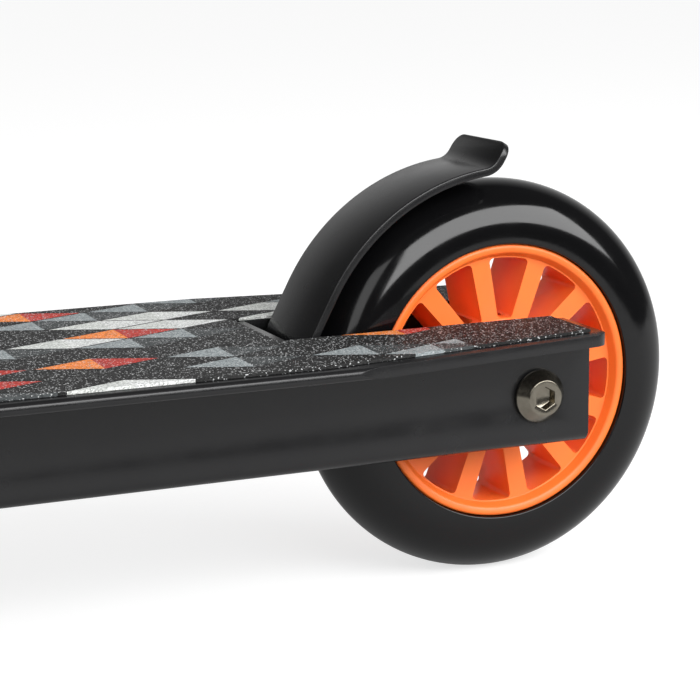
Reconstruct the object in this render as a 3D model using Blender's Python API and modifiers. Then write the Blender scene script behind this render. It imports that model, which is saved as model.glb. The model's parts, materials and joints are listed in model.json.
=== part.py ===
"""Stunt scooter: deck with a spring fender, fork and T-bar, two spoked wheels.

Metres, +Z up, +X towards the front wheel, +Y to the rider's left.
The origin lies on the ground, midway between the two axles.
"""
import math

import bmesh
import bpy
from mathutils import Matrix, Vector

MM = 0.001

# Fits and edges shared by the pieces
SEAT_GAP = 0.15 * MM
RUNNING_GAP = 0.30 * MM
AXLE_FIT = 0.20 * MM
EDGE_BREAK = 0.5 * MM
EDGE_ROUND = 1 * MM
CUT_MARGIN = 5 * MM
WELD_DISTANCE = 0.001 * MM
SEAM_DISTANCE = 0.0001 * MM

# Facets of the round pieces
WHEEL_STEPS = 32
BEARING_STEPS = 16
RING_STEPS = 12
SCREW_STEPS = 10
HEADSET_STEPS = 18
GRIP_STEPS = 14
TUBE_STEPS = 24
SMOOTH_ANGLE = math.radians(35)

# Wheels
WHEELBASE = 580 * MM
WHEEL_RADIUS = 50 * MM
TYRE_HALF_WIDTH = 11.8 * MM
TYRE_FLAT_SIDE = 3.4 * MM
TREAD_FLAT = 1.2 * MM
TREAD_ANGLES = (90, 60, 32)
RIM_RADIUS = 34.6 * MM
RIM_INSET = 0.4 * MM
RIM_LIP = 3.3 * MM
KEY_HEIGHT = 1.8 * MM
KEY_HALF_WIDTH = 4 * MM
KEY_TAPER = 0.8 * MM
SPOKE_COUNT = 12
SPOKE_INSET = 2.7 * MM
SPOKE_WIDTH_RIM = 4.9 * MM
SPOKE_WIDTH_HUB = 4.2 * MM
SPOKE_DRAFT = 0.3 * MM
SPOKE_PHASE = math.radians(19.4)
WINDOW_CORNER = 1.2 * MM
WINDOW_LAND = 0.25 * MM
HUB_WALL = 3.6 * MM
HUB_FOOT = 1.2 * MM
HUB_DRAFT = 0.4 * MM
HUB_PROUD = 0.1 * MM

# Bearings and axle hardware
AXLE_RADIUS = 4 * MM
INNER_RACE_WALL = 2.2 * MM
BEARING_RADIUS = 11 * MM
BEARING_WIDTH = 7 * MM
BEARING_SHOULDER = 2 * MM
SPACER_WALL = 2 * MM
BOLT_HEAD_RADIUS = 6.4 * MM
BOLT_FACE_RADIUS = 4.35 * MM
BOLT_HEAD_HEIGHT = 3.5 * MM
BOLT_SOCKET_FLATS = 5 * MM
BOLT_SOCKET_DEPTH = 2.6 * MM
BOLT_TAIL = 1.5 * MM
NUT_FLATS = 13 * MM
NUT_HEIGHT = 7 * MM
NUT_COLLAR_HEIGHT = 2 * MM
WASHER_RADIUS = 8 * MM
WASHER_THICKNESS = 1.2 * MM

# Deck extrusion, counted from the rear axle: upwards, downwards and to the rear
DECK_TOP = 15.85 * MM
DECK_DROP = 12.9 * MM
DECK_TAIL = 14 * MM
DECK_FRONT_GAP = 130 * MM
PLATE_THICKNESS = 2.8 * MM
ROOF_THICKNESS = 2.5 * MM
PLATE_HALF_WIDTH = 50.5 * MM
TYRE_SIDE_GAP = 4.1 * MM
WEB_THICKNESS = 2.4 * MM
RAIL_CHAMBER = 7.7 * MM
WALL_THICKNESS = 2.8 * MM
FLOOR_THICKNESS = 2.4 * MM
LOWER_CORNER = 3 * MM
NOSE_THICKNESS = 3 * MM
SLOT_LEDGE = 0.4 * MM
SLOT_FRONT_GAP = 4.8 * MM
TRIM_START = 57 * MM
RAIL_LEDGE = 10 * MM
TRIM_CORNER = 4 * MM

# Grip tape
TAPE_THICKNESS = 0.8 * MM
TAPE_LIFT = 0.05 * MM
TAPE_BORDER = 3.2 * MM
TAPE_END_BORDER = 3.7 * MM
TAPE_TRIM_LEAD = 5.5 * MM
TAPE_SLOT_MARGIN = 0.3 * MM
TAPE_SLOT_BORDER = 3.3 * MM
TAPE_NECK_GAP = 10 * MM
TAPE_CORNER = 12 * MM

# Spring fender and its foot
FENDER_GAP = 2.4 * MM
FENDER_THICKNESS = 2 * MM
FENDER_SIDE_GAP = 2 * MM
FENDER_TOP_ANGLE = math.radians(84.5)
FENDER_ROOT_ANGLE = math.radians(-2)
FENDER_LIP_ANGLE = math.radians(137)
FENDER_LIP_LENGTH = 8.4 * MM
FENDER_LIP_BEND = 3 * MM
FENDER_LIP_CORNER = 4.5 * MM
FOOT_LENGTH = 34 * MM
FOOT_BEND = 4 * MM
FOOT_SCREW_SPACING = 14 * MM
FOOT_SCREW_INSET = 14 * MM
FOOT_SCREW_RADIUS = 2.5 * MM
FOOT_SCREW_HEAD_RADIUS = 4.6 * MM
FOOT_SCREW_HEAD_HEIGHT = 2.2 * MM
FOOT_SCREW_SOCKET_FLATS = 3 * MM
FOOT_SCREW_SOCKET_DEPTH = 1.3 * MM
FOOT_NUT_FLATS = 8 * MM
FOOT_NUT_HEIGHT = 4 * MM

# Fork, with heights along the steering line counted from the axle's level
HEAD_ANGLE = math.radians(83)
FORK_OFFSET = 28 * MM
FORK_TYRE_GAP = 3.7 * MM
FORK_CROWN_GAP = 5 * MM
FORK_CROWN_HEIGHT = 18 * MM
FORK_CROWN_HALF_LENGTH = 21 * MM
FORK_CROWN_OVERLAP = 2 * MM
FORK_CROWN_CORNER = 8 * MM
FORK_LEG_THICKNESS = 6 * MM
FORK_LEG_TOP_HALF = 19 * MM
FORK_LEG_END_RADIUS = 13 * MM
FORK_LEG_SHOULDER = 4 * MM
STEERER_RADIUS = 14.3 * MM
STEERER_WALL = 2.3 * MM
STEERER_FLOOR = 4 * MM
STEERER_SINK = 6 * MM
STEERER_EXPOSED = 75 * MM

# Head tube and headset
HEADSET_FIT = 0.25 * MM
HEADSET_INNER_WALL = 3.7 * MM
HEADSET_OUTER_WALL = 2.9 * MM
HEADSET_BEARING_HEIGHT = 7 * MM
CROWN_RACE_HEIGHT = 6 * MM
CROWN_RACE_PROUD = 1.5 * MM
HEAD_TUBE_WALL = 4.1 * MM
HEAD_TUBE_LENGTH = 108 * MM
HEAD_TUBE_CLEARANCE = 4.6 * MM
CAP_HEIGHT = 7 * MM
CAP_RIM_HEIGHT = 1.5 * MM
CAP_SHOULDER = 1.5 * MM

# Neck between head tube and deck
NECK_HALF_WIDTH = 17 * MM
NECK_HALF_HEIGHT = 19 * MM
NECK_WALL = 2.6 * MM
NECK_CORNER = 7 * MM
NECK_RISE = 51 * MM
NECK_FOOT_INSET = 35 * MM
GUSSET_HALF_WIDTH = 4 * MM
GUSSET_REACH = 30 * MM
GUSSET_TOE = 3 * MM
GUSSET_TOE_RISE = 5 * MM

# Split shim between steerer and bar, and the screw that loads the headset
SHIM_WALL = 1.4 * MM
SHIM_FLANGE = 2 * MM
SHIM_RISE = 2 * MM
CAP_SCREW_RADIUS = 3 * MM
CAP_SCREW_HEAD_RADIUS = 5 * MM
CAP_SCREW_HEAD_HEIGHT = 5 * MM
CAP_SCREW_LENGTH = 32 * MM
CAP_SCREW_SOCKET_FLATS = 5 * MM
CAP_SCREW_SOCKET_DEPTH = 4 * MM
STEERER_CAP_HEIGHT = 3 * MM
STAR_NUT_DEPTH = 28 * MM
STAR_NUT_HEIGHT = 4 * MM

# Handlebar and clamp
BAR_FIT = 0.2 * MM
BAR_WALL = 1.3 * MM
BAR_SLIT_WIDTH = 3 * MM
BAR_SLIT_LENGTH = 55 * MM
CROSSBAR_HEIGHT = 700 * MM
CROSSBAR_RADIUS = 11.1 * MM
CROSSBAR_WALL = 2.1 * MM
CROSSBAR_HALF_LENGTH = 255 * MM
CROSSBAR_CORE = 30 * MM
RISER_CAP = 2 * MM
BRACE_RADIUS = 8 * MM
BRACE_REACH = 100 * MM
BRACE_DROP = 105 * MM
CLAMP_WALL = 5.4 * MM
CLAMP_RISE = 2 * MM
CLAMP_HEIGHT = 46 * MM
CLAMP_EAR_LENGTH = 9.5 * MM
CLAMP_EAR_HALF_WIDTH = 10.5 * MM
CLAMP_EAR_EDGE = 1.5 * MM
CLAMP_SLOT_WIDTH = 2.4 * MM
CLAMP_BOLT_LEVELS = (0.25, 0.75)
CLAMP_BOLT_RADIUS = 3 * MM
CLAMP_BOLT_TAIL = 1.5 * MM
CLAMP_BOLT_HEAD_RADIUS = 5 * MM
CLAMP_BOLT_HEAD_HEIGHT = 6 * MM
CLAMP_BOLT_SOCKET_FLATS = 5 * MM
CLAMP_BOLT_SOCKET_DEPTH = 3 * MM

# Grips and bar end plugs
GRIP_FIT = 0.35 * MM
GRIP_LENGTH = 120 * MM
GRIP_WALL = 4.4 * MM
GRIP_GROOVE = 1.2 * MM
GRIP_GROOVE_WIDTH = 6.5 * MM
GRIP_RIBS = 4
GRIP_PLAIN = 4 * MM
GRIP_END_GAP = 0.6 * MM
GRIP_FLANGE_RADIUS = 20 * MM
GRIP_FLANGE_WIDTH = 4 * MM
PLUG_FLANGE = 5 * MM
PLUG_CROWN = 3 * MM
PLUG_STEM_LENGTH = 18 * MM

# Sizes that follow from the ones above
RIM_HALF_WIDTH = TYRE_HALF_WIDTH - RIM_INSET
HUB_HALF_WIDTH = TYRE_HALF_WIDTH + HUB_PROUD
SPOKE_HALF_DEPTH = RIM_HALF_WIDTH - SPOKE_INSET
SHOULDER_START = RIM_RADIUS + TYRE_FLAT_SIDE
HUB_RADIUS = BEARING_RADIUS + HUB_WALL
RACE_SPLIT = AXLE_RADIUS + INNER_RACE_WALL
WEB_INNER = TYRE_HALF_WIDTH + TYRE_SIDE_GAP
WALL_OUTER = WEB_INNER + WEB_THICKNESS + RAIL_CHAMBER + WALL_THICKNESS
DECK_BOTTOM = -DECK_DROP
DECK_REAR = -DECK_TAIL
DECK_FRONT = WHEELBASE - DECK_FRONT_GAP
FENDER_MIDDLE = WHEEL_RADIUS + FENDER_GAP + FENDER_THICKNESS / 2
SLOT_HALF_WIDTH = WEB_INNER - SLOT_LEDGE
SLOT_FRONT = FENDER_MIDDLE + FENDER_THICKNESS / 2 + SLOT_FRONT_GAP
FENDER_HALF_WIDTH = SLOT_HALF_WIDTH - FENDER_SIDE_GAP
TRIM_REAR_HALF = WALL_OUTER + RAIL_LEDGE
FORK_LEG_INNER = TYRE_HALF_WIDTH + FORK_TYRE_GAP
FORK_LEG_OUTER = FORK_LEG_INNER + FORK_LEG_THICKNESS
FORK_CROWN_START = WHEEL_RADIUS + FORK_CROWN_GAP
FORK_CROWN_TOP = FORK_CROWN_START + FORK_CROWN_HEIGHT
HEADSET_SPLIT = STEERER_RADIUS + HEADSET_INNER_WALL
HEADSET_RADIUS = HEADSET_SPLIT + HEADSET_OUTER_WALL
HEAD_TUBE_RADIUS = HEADSET_RADIUS + HEAD_TUBE_WALL
HEAD_TUBE_START = FORK_CROWN_TOP + CROWN_RACE_HEIGHT
HEAD_TUBE_END = HEAD_TUBE_START + HEAD_TUBE_LENGTH
STEERER_TOP = HEAD_TUBE_END + STEERER_EXPOSED
SHIM_RADIUS = STEERER_RADIUS + HEADSET_FIT + SHIM_WALL
SHIM_START = HEAD_TUBE_END + RUNNING_GAP + CAP_HEIGHT + SEAT_GAP
SHIM_TOP = STEERER_TOP + SHIM_RISE
BAR_BORE = SHIM_RADIUS + BAR_FIT
BAR_RADIUS = BAR_BORE + BAR_WALL
BAR_BOTTOM = SHIM_START + SHIM_FLANGE + SEAT_GAP
CLAMP_BORE = BAR_RADIUS + BAR_FIT
CLAMP_RADIUS = CLAMP_BORE + CLAMP_WALL
CROSSBAR_BORE = CROSSBAR_RADIUS - CROSSBAR_WALL
GRIP_RADIUS = CROSSBAR_RADIUS + GRIP_WALL

# Places that follow from the sizes
REAR_AXLE = Vector((-WHEELBASE / 2, 0, WHEEL_RADIUS))
FRONT_AXLE = Vector((WHEELBASE / 2, 0, WHEEL_RADIUS))
STEER_TURN = Matrix.Rotation(HEAD_ANGLE - math.pi / 2, 4, "Y")
STEER_BASE = FRONT_AXLE - STEER_TURN @ Vector((FORK_OFFSET, 0, 0))
IN_STEERING = Matrix.Translation(STEER_BASE) @ STEER_TURN
NECK_START = IN_STEERING @ Vector((0, 0, HEAD_TUBE_START + NECK_RISE))
NECK_FOOT = REAR_AXLE + Vector((DECK_FRONT - NECK_FOOT_INSET, 0, DECK_TOP))
NECK_SLOPE = math.atan2(NECK_START.z - NECK_FOOT.z, NECK_START.x - NECK_FOOT.x)
TURN_TO_Y = Matrix.Rotation(math.radians(-90), 4, "X")
SIDE_PROFILE = Matrix.Rotation(math.radians(90), 4, "X")
SECTION_ALONG_X = Matrix(((0, 0, 1, 0), (1, 0, 0, 0), (0, 1, 0, 0), (0, 0, 0, 1)))

# Each slot's colour, roughness and metallic value
COLOURS = {
    "black_paint": ((0.035, 0.035, 0.036, 1), 0.38, 0.0),
    "grip_tape": ((0.03, 0.03, 0.03, 1), 0.95, 0.0),
    "orange_plastic": ((0.9, 0.2, 0.03, 1), 0.4, 0.0),
    "black_tyre": ((0.012, 0.012, 0.012, 1), 0.25, 0.0),
    "bolt_steel": ((0.3, 0.29, 0.26, 1), 0.35, 1.0),
    "bearing_steel": ((0.6, 0.6, 0.6, 1), 0.25, 1.0),
    "black_plastic": ((0.02, 0.02, 0.02, 1), 0.5, 0.0),
    "black_rubber": ((0.018, 0.018, 0.018, 1), 0.8, 0.0),
}


def clear_scene():
    """Remove what is in the file, and make the two collections."""
    for item in list(bpy.data.objects):
        bpy.data.objects.remove(item, do_unlink=True)
    for name in ("stunt_scooter", "cutters"):
        collection = bpy.data.collections.new(name)
        bpy.context.scene.collection.children.link(collection)


def paint(item, slot):
    """Give the object its own material in the colour of a slot."""
    colour, roughness, metallic = COLOURS[slot]
    material = bpy.data.materials.new(item.name + "_" + slot)
    material.use_nodes = True
    shader = material.node_tree.nodes["Principled BSDF"]
    shader.inputs["Base Color"].default_value = colour
    shader.inputs["Roughness"].default_value = roughness
    shader.inputs["Metallic"].default_value = metallic
    item.data.materials.clear()
    item.data.materials.append(material)


def place(mesh, name, slot=None, origin=Vector()):
    """Put a mesh on an object with its own origin; without a slot it is a cutter."""
    mesh.transform(Matrix.Translation(-Vector(origin)))
    item = bpy.data.objects.new(name, mesh)
    item.location = origin
    if slot:
        bpy.data.collections["stunt_scooter"].objects.link(item)
        paint(item, slot)
    else:
        bpy.data.collections["cutters"].objects.link(item)
        item.hide_render = True
        item.display_type = "WIRE"
    bpy.context.view_layer.update()
    return item


def tidy_mesh(mesh):
    """Weld doubled points, turn the faces outward and shade round faces smooth."""
    shell = bmesh.new()
    shell.from_mesh(mesh)
    bmesh.ops.remove_doubles(shell, verts=shell.verts, dist=WELD_DISTANCE)
    bmesh.ops.recalc_face_normals(shell, faces=shell.faces)
    shell.to_mesh(mesh)
    shell.free()
    mesh.shade_smooth()
    mesh.set_sharp_from_angle(angle=SMOOTH_ANGLE)
    return mesh


def evaluated(item):
    """The object's mesh with its modifiers applied; the object is removed."""
    bpy.context.view_layer.update()
    graph = bpy.context.evaluated_depsgraph_get()
    mesh = bpy.data.meshes.new_from_object(item.evaluated_get(graph), depsgraph=graph)
    bpy.data.objects.remove(item, do_unlink=True)
    return mesh


def turned(profile, steps, matrix, closed=True):
    """A turned solid from (radius, height) points, about the matrix's Z."""
    mesh = bpy.data.meshes.new("profile")
    points = [(radius, 0, height) for radius, height in profile]
    edges = [(k, k + 1) for k in range(len(points) - 1)]
    if closed:
        edges.append((len(points) - 1, 0))
    mesh.from_pydata(points, edges, [])
    item = bpy.data.objects.new("turning", mesh)
    bpy.context.scene.collection.objects.link(item)
    screw = item.modifiers.new("Screw", "SCREW")
    screw.axis = "Z"
    screw.steps = steps
    screw.render_steps = steps
    screw.use_merge_vertices = True
    screw.merge_threshold = SEAM_DISTANCE
    solid = tidy_mesh(evaluated(item))
    solid.transform(matrix)
    return solid


def flat(outlines, thickness, matrix):
    """A flat solid from closed outlines, its mid-plane on the matrix's XY."""
    curve = bpy.data.curves.new("outline", "CURVE")
    curve.dimensions = "2D"
    curve.fill_mode = "BOTH"
    curve.extrude = thickness / 2
    curve.render_resolution_u = 0
    for outline in outlines:
        spline = curve.splines.new("POLY")
        spline.points.add(len(outline) - 1)
        for point, (x, y) in zip(spline.points, outline):
            point.co = (x, y, 0, 1)
        spline.use_cyclic_u = True
    item = bpy.data.objects.new("outline", curve)
    bpy.context.scene.collection.objects.link(item)
    solid = tidy_mesh(evaluated(item))
    solid.transform(matrix)
    return solid


def rod(radius, start, end, matrix=Matrix(), segments=TUBE_STEPS, end_radius=None):
    """A round bar, or a cone, between two points of the matrix's space."""
    start = Vector(start)
    end = Vector(end)
    span = end - start
    shell = bmesh.new()
    bmesh.ops.create_cone(
        shell,
        cap_ends=True,
        segments=segments,
        radius1=radius,
        radius2=radius if end_radius is None else end_radius,
        depth=span.length,
    )
    turn = span.to_track_quat("Z", "Y").to_matrix().to_4x4()
    shell.transform(matrix @ Matrix.Translation((start + end) / 2) @ turn)
    mesh = bpy.data.meshes.new("rod")
    shell.to_mesh(mesh)
    shell.free()
    mesh.shade_smooth()
    mesh.set_sharp_from_angle(angle=SMOOTH_ANGLE)
    return mesh


def hexagon_rod(flats, start, end, matrix=Matrix()):
    """A six-sided bar of a width across flats."""
    return rod(flats / 2 / math.cos(math.pi / 6), start, end, matrix, 6)


def block(low, high, matrix=Matrix()):
    """A box between two corners of the matrix's space."""
    low = Vector(low)
    high = Vector(high)
    shell = bmesh.new()
    bmesh.ops.create_cube(shell, size=1)
    size = Matrix.Diagonal((*(high - low), 1))
    shell.transform(matrix @ Matrix.Translation((low + high) / 2) @ size)
    mesh = bpy.data.meshes.new("block")
    shell.to_mesh(mesh)
    shell.free()
    return mesh


def arc(centre, radius, start, end, count):
    """Points on an arc, with both ends, angles in radians."""
    x, y = centre
    angles = [start + (end - start) * k / (count - 1) for k in range(count)]
    return [(x + radius * math.cos(a), y + radius * math.sin(a)) for a in angles]


def rounded_box(half_width, half_height, radius, count=4):
    """An outline with round corners about the origin."""
    outline = []
    for quarter, (sx, sy) in enumerate(((1, 1), (-1, 1), (-1, -1), (1, -1))):
        centre = (sx * (half_width - radius), sy * (half_height - radius))
        start = quarter * math.pi / 2
        outline += arc(centre, radius, start, start + math.pi / 2, count)
    return outline


def combine(item, tool_mesh, name, operation="DIFFERENCE"):
    """Cut a tool out of the object, or join it on, by an exact Boolean."""
    boolean = item.modifiers.new(name, "BOOLEAN")
    boolean.operation = operation
    boolean.solver = "EXACT"
    boolean.object = place(tool_mesh, name)


def at_wheel(axle):
    """The space of what turns about an axle: its Z is the row's Y."""
    return Matrix.Translation(axle) @ TURN_TO_Y


def mirrored_profile(half):
    """A closed turning profile from its upper half."""
    return half + [(radius, -height) for radius, height in reversed(half)]


def ring(name, slot, radii, faces, matrix, origin, steps=RING_STEPS):
    """A ring of square section between two radii and two faces."""
    inner, outer = radii
    start, end = sorted(faces)
    profile = [(inner, start), (outer, start), (outer, end), (inner, end)]
    return place(turned(profile, steps, matrix), name, slot, origin)


def wheel_core(name, axle):
    """Moulded core: rim with a key rib, twelve through spokes and a hub."""
    opening = RIM_RADIUS - RIM_LIP
    seat_floor = HUB_HALF_WIDTH - SEAT_GAP - BEARING_WIDTH
    half = [
        (BEARING_RADIUS - BEARING_SHOULDER, seat_floor),
        (BEARING_RADIUS + SEAT_GAP, seat_floor),
        (BEARING_RADIUS + SEAT_GAP, HUB_HALF_WIDTH),
        (HUB_RADIUS, HUB_HALF_WIDTH),
        (HUB_RADIUS + HUB_DRAFT, SPOKE_HALF_DEPTH),
        (opening, SPOKE_HALF_DEPTH),
        (opening + EDGE_ROUND, RIM_HALF_WIDTH - EDGE_BREAK),
        (RIM_RADIUS - EDGE_ROUND, RIM_HALF_WIDTH),
        (RIM_RADIUS, RIM_HALF_WIDTH - EDGE_ROUND),
        (RIM_RADIUS, KEY_HALF_WIDTH),
        (RIM_RADIUS + KEY_HEIGHT, KEY_HALF_WIDTH - KEY_TAPER),
    ]
    mesh = turned(mirrored_profile(half), WHEEL_STEPS, at_wheel(axle))
    core = place(mesh, name, "orange_plastic", axle)
    combine(core, spoke_windows(axle), name + "_windows")


def spoke_windows(axle):
    """All the openings between the spokes, as one cutter with the mould's draft."""
    pitch = 2 * math.pi / SPOKE_COUNT
    beyond = SPOKE_HALF_DEPTH + CUT_MARGIN
    shell = bmesh.new()
    for number in range(SPOKE_COUNT):
        middle = SPOKE_PHASE + (number + 0.5) * pitch
        rings = []
        for depth in (-beyond, 0, beyond):
            draft = SPOKE_DRAFT * (1 - abs(depth) / SPOKE_HALF_DEPTH)
            outline = window_outline(middle, pitch, draft)
            rings.append([shell.verts.new((x, depth, z)) for x, z in outline])
        shell.faces.new(rings[0])
        shell.faces.new(reversed(rings[-1]))
        for lower, upper in zip(rings, rings[1:]):
            for k, point in enumerate(lower):
                following = (k + 1) % len(lower)
                shell.faces.new((point, upper[k], upper[following], lower[following]))
    mesh = bpy.data.meshes.new("windows")
    shell.to_mesh(mesh)
    shell.free()
    mesh.transform(Matrix.Translation(axle))
    return tidy_mesh(mesh)


def window_outline(middle, pitch, draft):
    """One opening seen along the axle; the draft makes the spokes beside it wider."""
    outer = RIM_RADIUS - RIM_LIP - WINDOW_LAND
    inner = HUB_RADIUS + HUB_FOOT
    corners = (
        (inner, SPOKE_WIDTH_HUB, 0),
        (outer - WINDOW_CORNER, SPOKE_WIDTH_RIM, 0),
        (outer, SPOKE_WIDTH_RIM, WINDOW_CORNER),
    )
    half = []
    for radius, spoke_width, inset in corners:
        reach = pitch / 2 - math.asin((spoke_width / 2 + draft + inset) / radius)
        half.append((radius, reach))
    outline = []
    for side, points in ((-1, half), (1, reversed(half))):
        for radius, reach in points:
            angle = middle + side * reach
            outline.append((radius * math.cos(angle), radius * math.sin(angle)))
    return outline


def wheel_tyre(name, axle):
    """Cast tyre with a flat side, a full round tread and a groove for the key."""
    inner = RIM_RADIUS + SEAT_GAP
    crown = WHEEL_RADIUS - SHOULDER_START
    half = [
        (inner + KEY_HEIGHT, KEY_HALF_WIDTH - KEY_TAPER + SEAT_GAP),
        (inner, KEY_HALF_WIDTH + SEAT_GAP),
        (inner, TYRE_HALF_WIDTH - EDGE_BREAK),
    ]
    for degrees in TREAD_ANGLES:
        angle = math.radians(degrees)
        half.append((
            SHOULDER_START + crown * math.cos(angle),
            TYRE_HALF_WIDTH * math.sin(angle),
        ))
    half.append((WHEEL_RADIUS, TREAD_FLAT))
    mesh = turned(mirrored_profile(half), WHEEL_STEPS, at_wheel(axle))
    place(mesh, name, "black_tyre", axle)


def wheel_bearings(prefix, axle):
    """Outer races turn with the wheel; inner races stay with the axle."""
    matrix = at_wheel(axle)
    bore = AXLE_RADIUS + AXLE_FIT
    for side, word in ((1, "left"), (-1, "right")):
        faces = (side * HUB_HALF_WIDTH, side * (HUB_HALF_WIDTH - BEARING_WIDTH))
        ring(prefix + "_bearing_" + word, "bearing_steel",
             (RACE_SPLIT + RUNNING_GAP / 2, BEARING_RADIUS), faces, matrix, axle, BEARING_STEPS)
        ring(prefix + "_race_" + word, "bearing_steel",
             (bore, RACE_SPLIT - RUNNING_GAP / 2), faces, matrix, axle)
    reach = HUB_HALF_WIDTH - BEARING_WIDTH - SEAT_GAP
    ring(prefix + "_bearing_spacer", "bearing_steel", (bore, AXLE_RADIUS + SPACER_WALL),
         (-reach, reach), matrix, axle)


def axle_set(prefix, axle, outer_face, inner_face):
    """Bolt, nut, washer and the two spacers that clamp a wheel in its frame."""
    matrix = at_wheel(axle)
    bore = AXLE_RADIUS + AXLE_FIT
    head = outer_face + SEAT_GAP
    face = head + BOLT_HEAD_HEIGHT
    nut_start = -(head + WASHER_THICKNESS + SEAT_GAP)
    collar_start = nut_start - NUT_HEIGHT
    nut_end = collar_start - NUT_COLLAR_HEIGHT
    tail = nut_end - BOLT_TAIL
    profile = [
        (0, face),
        (BOLT_FACE_RADIUS, face),
        (BOLT_HEAD_RADIUS, head + EDGE_BREAK),
        (BOLT_HEAD_RADIUS, head),
        (AXLE_RADIUS, head),
        (AXLE_RADIUS, tail + EDGE_BREAK),
        (AXLE_RADIUS - EDGE_BREAK, tail),
        (0, tail),
    ]
    mesh = turned(profile, BEARING_STEPS, matrix, closed=False)
    bolt = place(mesh, prefix + "_axle_bolt", "bolt_steel", axle)
    socket = hexagon_rod(BOLT_SOCKET_FLATS, (0, 0, face - BOLT_SOCKET_DEPTH),
                         (0, 0, face + CUT_MARGIN), matrix)
    combine(bolt, socket, prefix + "_bolt_socket")
    ring(prefix + "_axle_washer", "bolt_steel", (bore, WASHER_RADIUS),
         (-head, -head - WASHER_THICKNESS), matrix, axle)
    nut_mesh = hexagon_rod(NUT_FLATS, (0, 0, nut_start), (0, 0, collar_start), matrix)
    nut = place(nut_mesh, prefix + "_axle_nut", "bolt_steel", axle)
    collar = rod(NUT_FLATS / 2 - EDGE_BREAK, (0, 0, collar_start + EDGE_ROUND), (0, 0, nut_end),
                 matrix, BEARING_STEPS, NUT_FLATS / 2 - EDGE_ROUND)
    combine(nut, collar, prefix + "_nut_collar", "UNION")
    hole = rod(bore, (0, 0, nut_start + CUT_MARGIN), (0, 0, nut_end - CUT_MARGIN), matrix,
               BEARING_STEPS)
    combine(nut, hole, prefix + "_nut_bore")
    for side, word in ((1, "left"), (-1, "right")):
        faces = (side * (HUB_HALF_WIDTH + SEAT_GAP), side * (inner_face - SEAT_GAP))
        ring(prefix + "_axle_spacer_" + word, "bearing_steel",
             (bore, AXLE_RADIUS + SPACER_WALL), faces, matrix, axle)


def deck_section():
    """The extrusion's outline in (y, z), and its three chambers."""
    edge = PLATE_THICKNESS / 2
    edge_centre = (PLATE_HALF_WIDTH - edge, DECK_TOP - edge)
    right = arc(edge_centre, edge, math.radians(90), math.radians(-90), 7)
    right.append((WALL_OUTER, DECK_TOP - PLATE_THICKNESS))
    corner = (WALL_OUTER - LOWER_CORNER, DECK_BOTTOM + LOWER_CORNER)
    right += arc(corner, LOWER_CORNER, 0, math.radians(-90), 6)
    outline = right + [(-y, z) for y, z in reversed(right)]
    roof = DECK_TOP - ROOF_THICKNESS
    floor = DECK_BOTTOM + FLOOR_THICKNESS
    rail = WEB_INNER + WEB_THICKNESS
    walls = (
        (-WEB_INNER, WEB_INNER),
        (rail, rail + RAIL_CHAMBER),
        (-rail - RAIL_CHAMBER, -rail),
    )
    chambers = [[(a, floor), (b, floor), (b, roof), (a, roof)] for a, b in walls]
    return [outline] + chambers


def trim_outline(side):
    """What is cut off the plate's edge beside the wheel, in plan."""
    outside = PLATE_HALF_WIDTH + CUT_MARGIN
    behind = DECK_REAR - CUT_MARGIN
    slope = (PLATE_HALF_WIDTH - TRIM_REAR_HALF) / (TRIM_START - DECK_REAR)
    heading = math.atan(slope)
    edge = TRIM_REAR_HALF + slope * TRIM_CORNER
    centre = (DECK_REAR + TRIM_CORNER, edge - TRIM_CORNER / math.cos(heading))
    outline = [(TRIM_START + CUT_MARGIN / slope, outside)]
    outline += arc(centre, TRIM_CORNER, math.pi / 2 + heading, math.pi, 6)
    outline += [(behind, centre[1]), (behind, outside)]
    return [(x, side * y) for x, y in outline]


def make_deck():
    """Hollow extrusion with the wheel slot, trimmed edges and its bolt holes."""
    at_axle = Matrix.Translation(REAR_AXLE)
    middle = Matrix.Translation((DECK_FRONT / 2 + DECK_REAR / 2, 0, 0))
    mesh = flat(deck_section(), DECK_FRONT - DECK_REAR, at_axle @ middle @ SECTION_ALONG_X)
    deck = place(mesh, "deck", "black_paint", REAR_AXLE)
    slot = block(
        (DECK_REAR - CUT_MARGIN, -SLOT_HALF_WIDTH, DECK_BOTTOM - CUT_MARGIN),
        (SLOT_FRONT, SLOT_HALF_WIDTH, DECK_TOP + CUT_MARGIN),
        at_axle,
    )
    combine(deck, slot, "wheel_slot")
    level = at_axle @ Matrix.Translation((0, 0, DECK_TOP))
    for side, word in ((1, "left"), (-1, "right")):
        trim = flat([trim_outline(side)], 2 * (PLATE_THICKNESS + CUT_MARGIN), level)
        combine(deck, trim, "edge_trim_" + word)
    reach = WALL_OUTER + CUT_MARGIN
    holes = rod(AXLE_RADIUS + AXLE_FIT, (0, -reach, 0), (0, reach, 0), at_axle, BEARING_STEPS)
    combine(deck, holes, "axle_holes")
    for number, x in enumerate(foot_screw_places()):
        hole = rod(FOOT_SCREW_RADIUS + SEAT_GAP, (x, 0, DECK_BOTTOM - CUT_MARGIN),
                   (x, 0, DECK_BOTTOM + FLOOR_THICKNESS + CUT_MARGIN), at_axle, BEARING_STEPS)
        combine(deck, hole, "foot_screw_hole_%d" % (number + 1))


def foot_screw_places():
    """How far in front of the rear axle the fender's two screws stand."""
    first = FENDER_MIDDLE + FOOT_BEND + FOOT_SCREW_INSET
    return (first, first + FOOT_SCREW_SPACING)


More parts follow.
